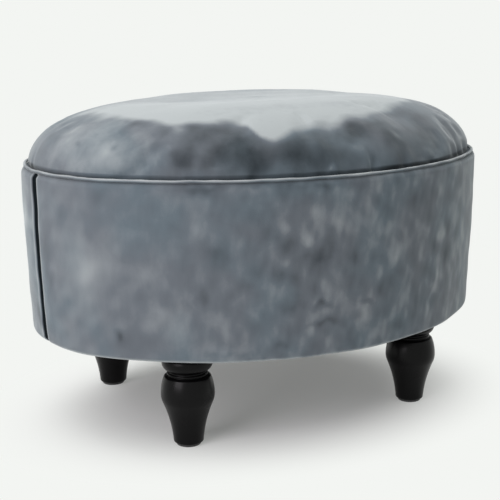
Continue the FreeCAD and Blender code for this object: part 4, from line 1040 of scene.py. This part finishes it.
def seamless_paper(name):
    """Matt white background paper. Away from the object the camera sees it as plain white, near the
    object it is lit paper and holds the shadow."""
    material, tree, place = start_material(name)
    cloud = add(tree, "TexNoise", {"Vector": place, "Scale": 1000 / PAPER_CLOUD_MM,
                                   "Detail": 1.0}).outputs["Fac"]
    shade = add(tree, "Mix", {0: cloud, 6: "#f1f2f0", 7: "#f3f4f2"}, data_type="RGBA").outputs[2]
    lit = add(tree, "BsdfDiffuse", {"Color": shade})
    plain = add(tree, "Emission", {"Color": PAPER_WHITE, "Strength": 1.0})
    oval_place = add(tree, "Mapping", {"Vector": place, "Scale": (2 / DRUM_LENGTH, 2 / DRUM_WIDTH, 0.0)})
    apart = add(tree, "VectorMath", {0: oval_place.outputs["Vector"]}, operation="LENGTH").outputs["Value"]
    distant = add(tree, "MapRange", {"Value": apart, "From Min": 0.55, "From Max": 1.25, "To Min": 0.16},
                  interpolation_type="SMOOTHSTEP").outputs["Result"]
    share = add(tree, "Math", {0: eye_rays(tree), 1: distant}, operation="MULTIPLY").outputs[0]
    mixed = add(tree, "MixShader", {0: share, 1: lit.outputs["BSDF"], 2: plain.outputs["Emission"]})
    add(tree, "OutputMaterial", {"Surface": mixed.outputs["Shader"]})
    return material


points = sweep_points()
studio_floor = fill_mesh("studio_floor", points, quads(*points.shape[:2]))
studio_floor.data.materials.append(seamless_paper("seamless_paper"))


def soft_box(name, place, aim, size, power, tint="#ffffff"):
    """A rectangular lamp that faces a point."""
    lamp = bpy.data.lights.new(name, "AREA")
    lamp.shape = "RECTANGLE"
    lamp.size, lamp.size_y = size
    lamp.energy = power
    lamp.color = colour(tint)[:3]
    box = bpy.data.objects.new(name, lamp)
    box.location = place
    box.rotation_euler = (Vector(aim) - Vector(place)).to_track_quat("-Z", "Y").to_euler()
    bpy.context.scene.collection.objects.link(box)


soft_box("overhead", (-0.1, 0.6, 2.1), (0, 0, 0.2), (2.2, 1.6), 30.0)
soft_box("left", (-2.1, -0.9, 1.1), (0, 0, 0.2), (1.4, 1.6), 30.5, "#fff8ff")

world = bpy.data.worlds.new("studio_air")
world.use_nodes = True
tree = world.node_tree
tree.nodes.clear()
air = add(tree, "Background", {"Color": "#ffffff", "Strength": 0.38})
backdrop = add(tree, "Background", {"Color": PAPER_WHITE, "Strength": 1.0})
sky = add(tree, "MixShader", {0: eye_rays(tree), 1: air.outputs["Background"],
                              2: backdrop.outputs["Background"]})
add(tree, "OutputWorld", {"Surface": sky.outputs["Shader"]})
bpy.context.scene.world = world

CAMERA_PLACE = Vector((-0.57216, -1.08690, 0.43469))
CAMERA_PAN, CAMERA_TILT, CAMERA_ROLL = 0.4784, 0.2151, -0.0079
FOCAL_PIXELS, FRAME_PIXELS, SENSOR_MM = 1113.14, 500, 36.0
ahead = Vector((math.sin(CAMERA_PAN) * math.cos(CAMERA_TILT),
                math.cos(CAMERA_PAN) * math.cos(CAMERA_TILT), -math.sin(CAMERA_TILT)))
level = Vector((math.cos(CAMERA_PAN), -math.sin(CAMERA_PAN), 0.0))
upright = level.cross(ahead)
right = level * math.cos(CAMERA_ROLL) + upright * math.sin(CAMERA_ROLL)
up = upright * math.cos(CAMERA_ROLL) - level * math.sin(CAMERA_ROLL)
lens = bpy.data.cameras.new("camera")
lens.sensor_width = SENSOR_MM
lens.lens = FOCAL_PIXELS / FRAME_PIXELS * SENSOR_MM
lens.clip_end = 50
camera = bpy.data.objects.new("camera", lens)
camera.matrix_world = Matrix.Translation(CAMERA_PLACE) @ Matrix((right, up, -ahead)).transposed().to_4x4()
bpy.context.scene.collection.objects.link(camera)
bpy.context.scene.camera = camera
bpy.context.scene.view_settings.view_transform = "Standard"
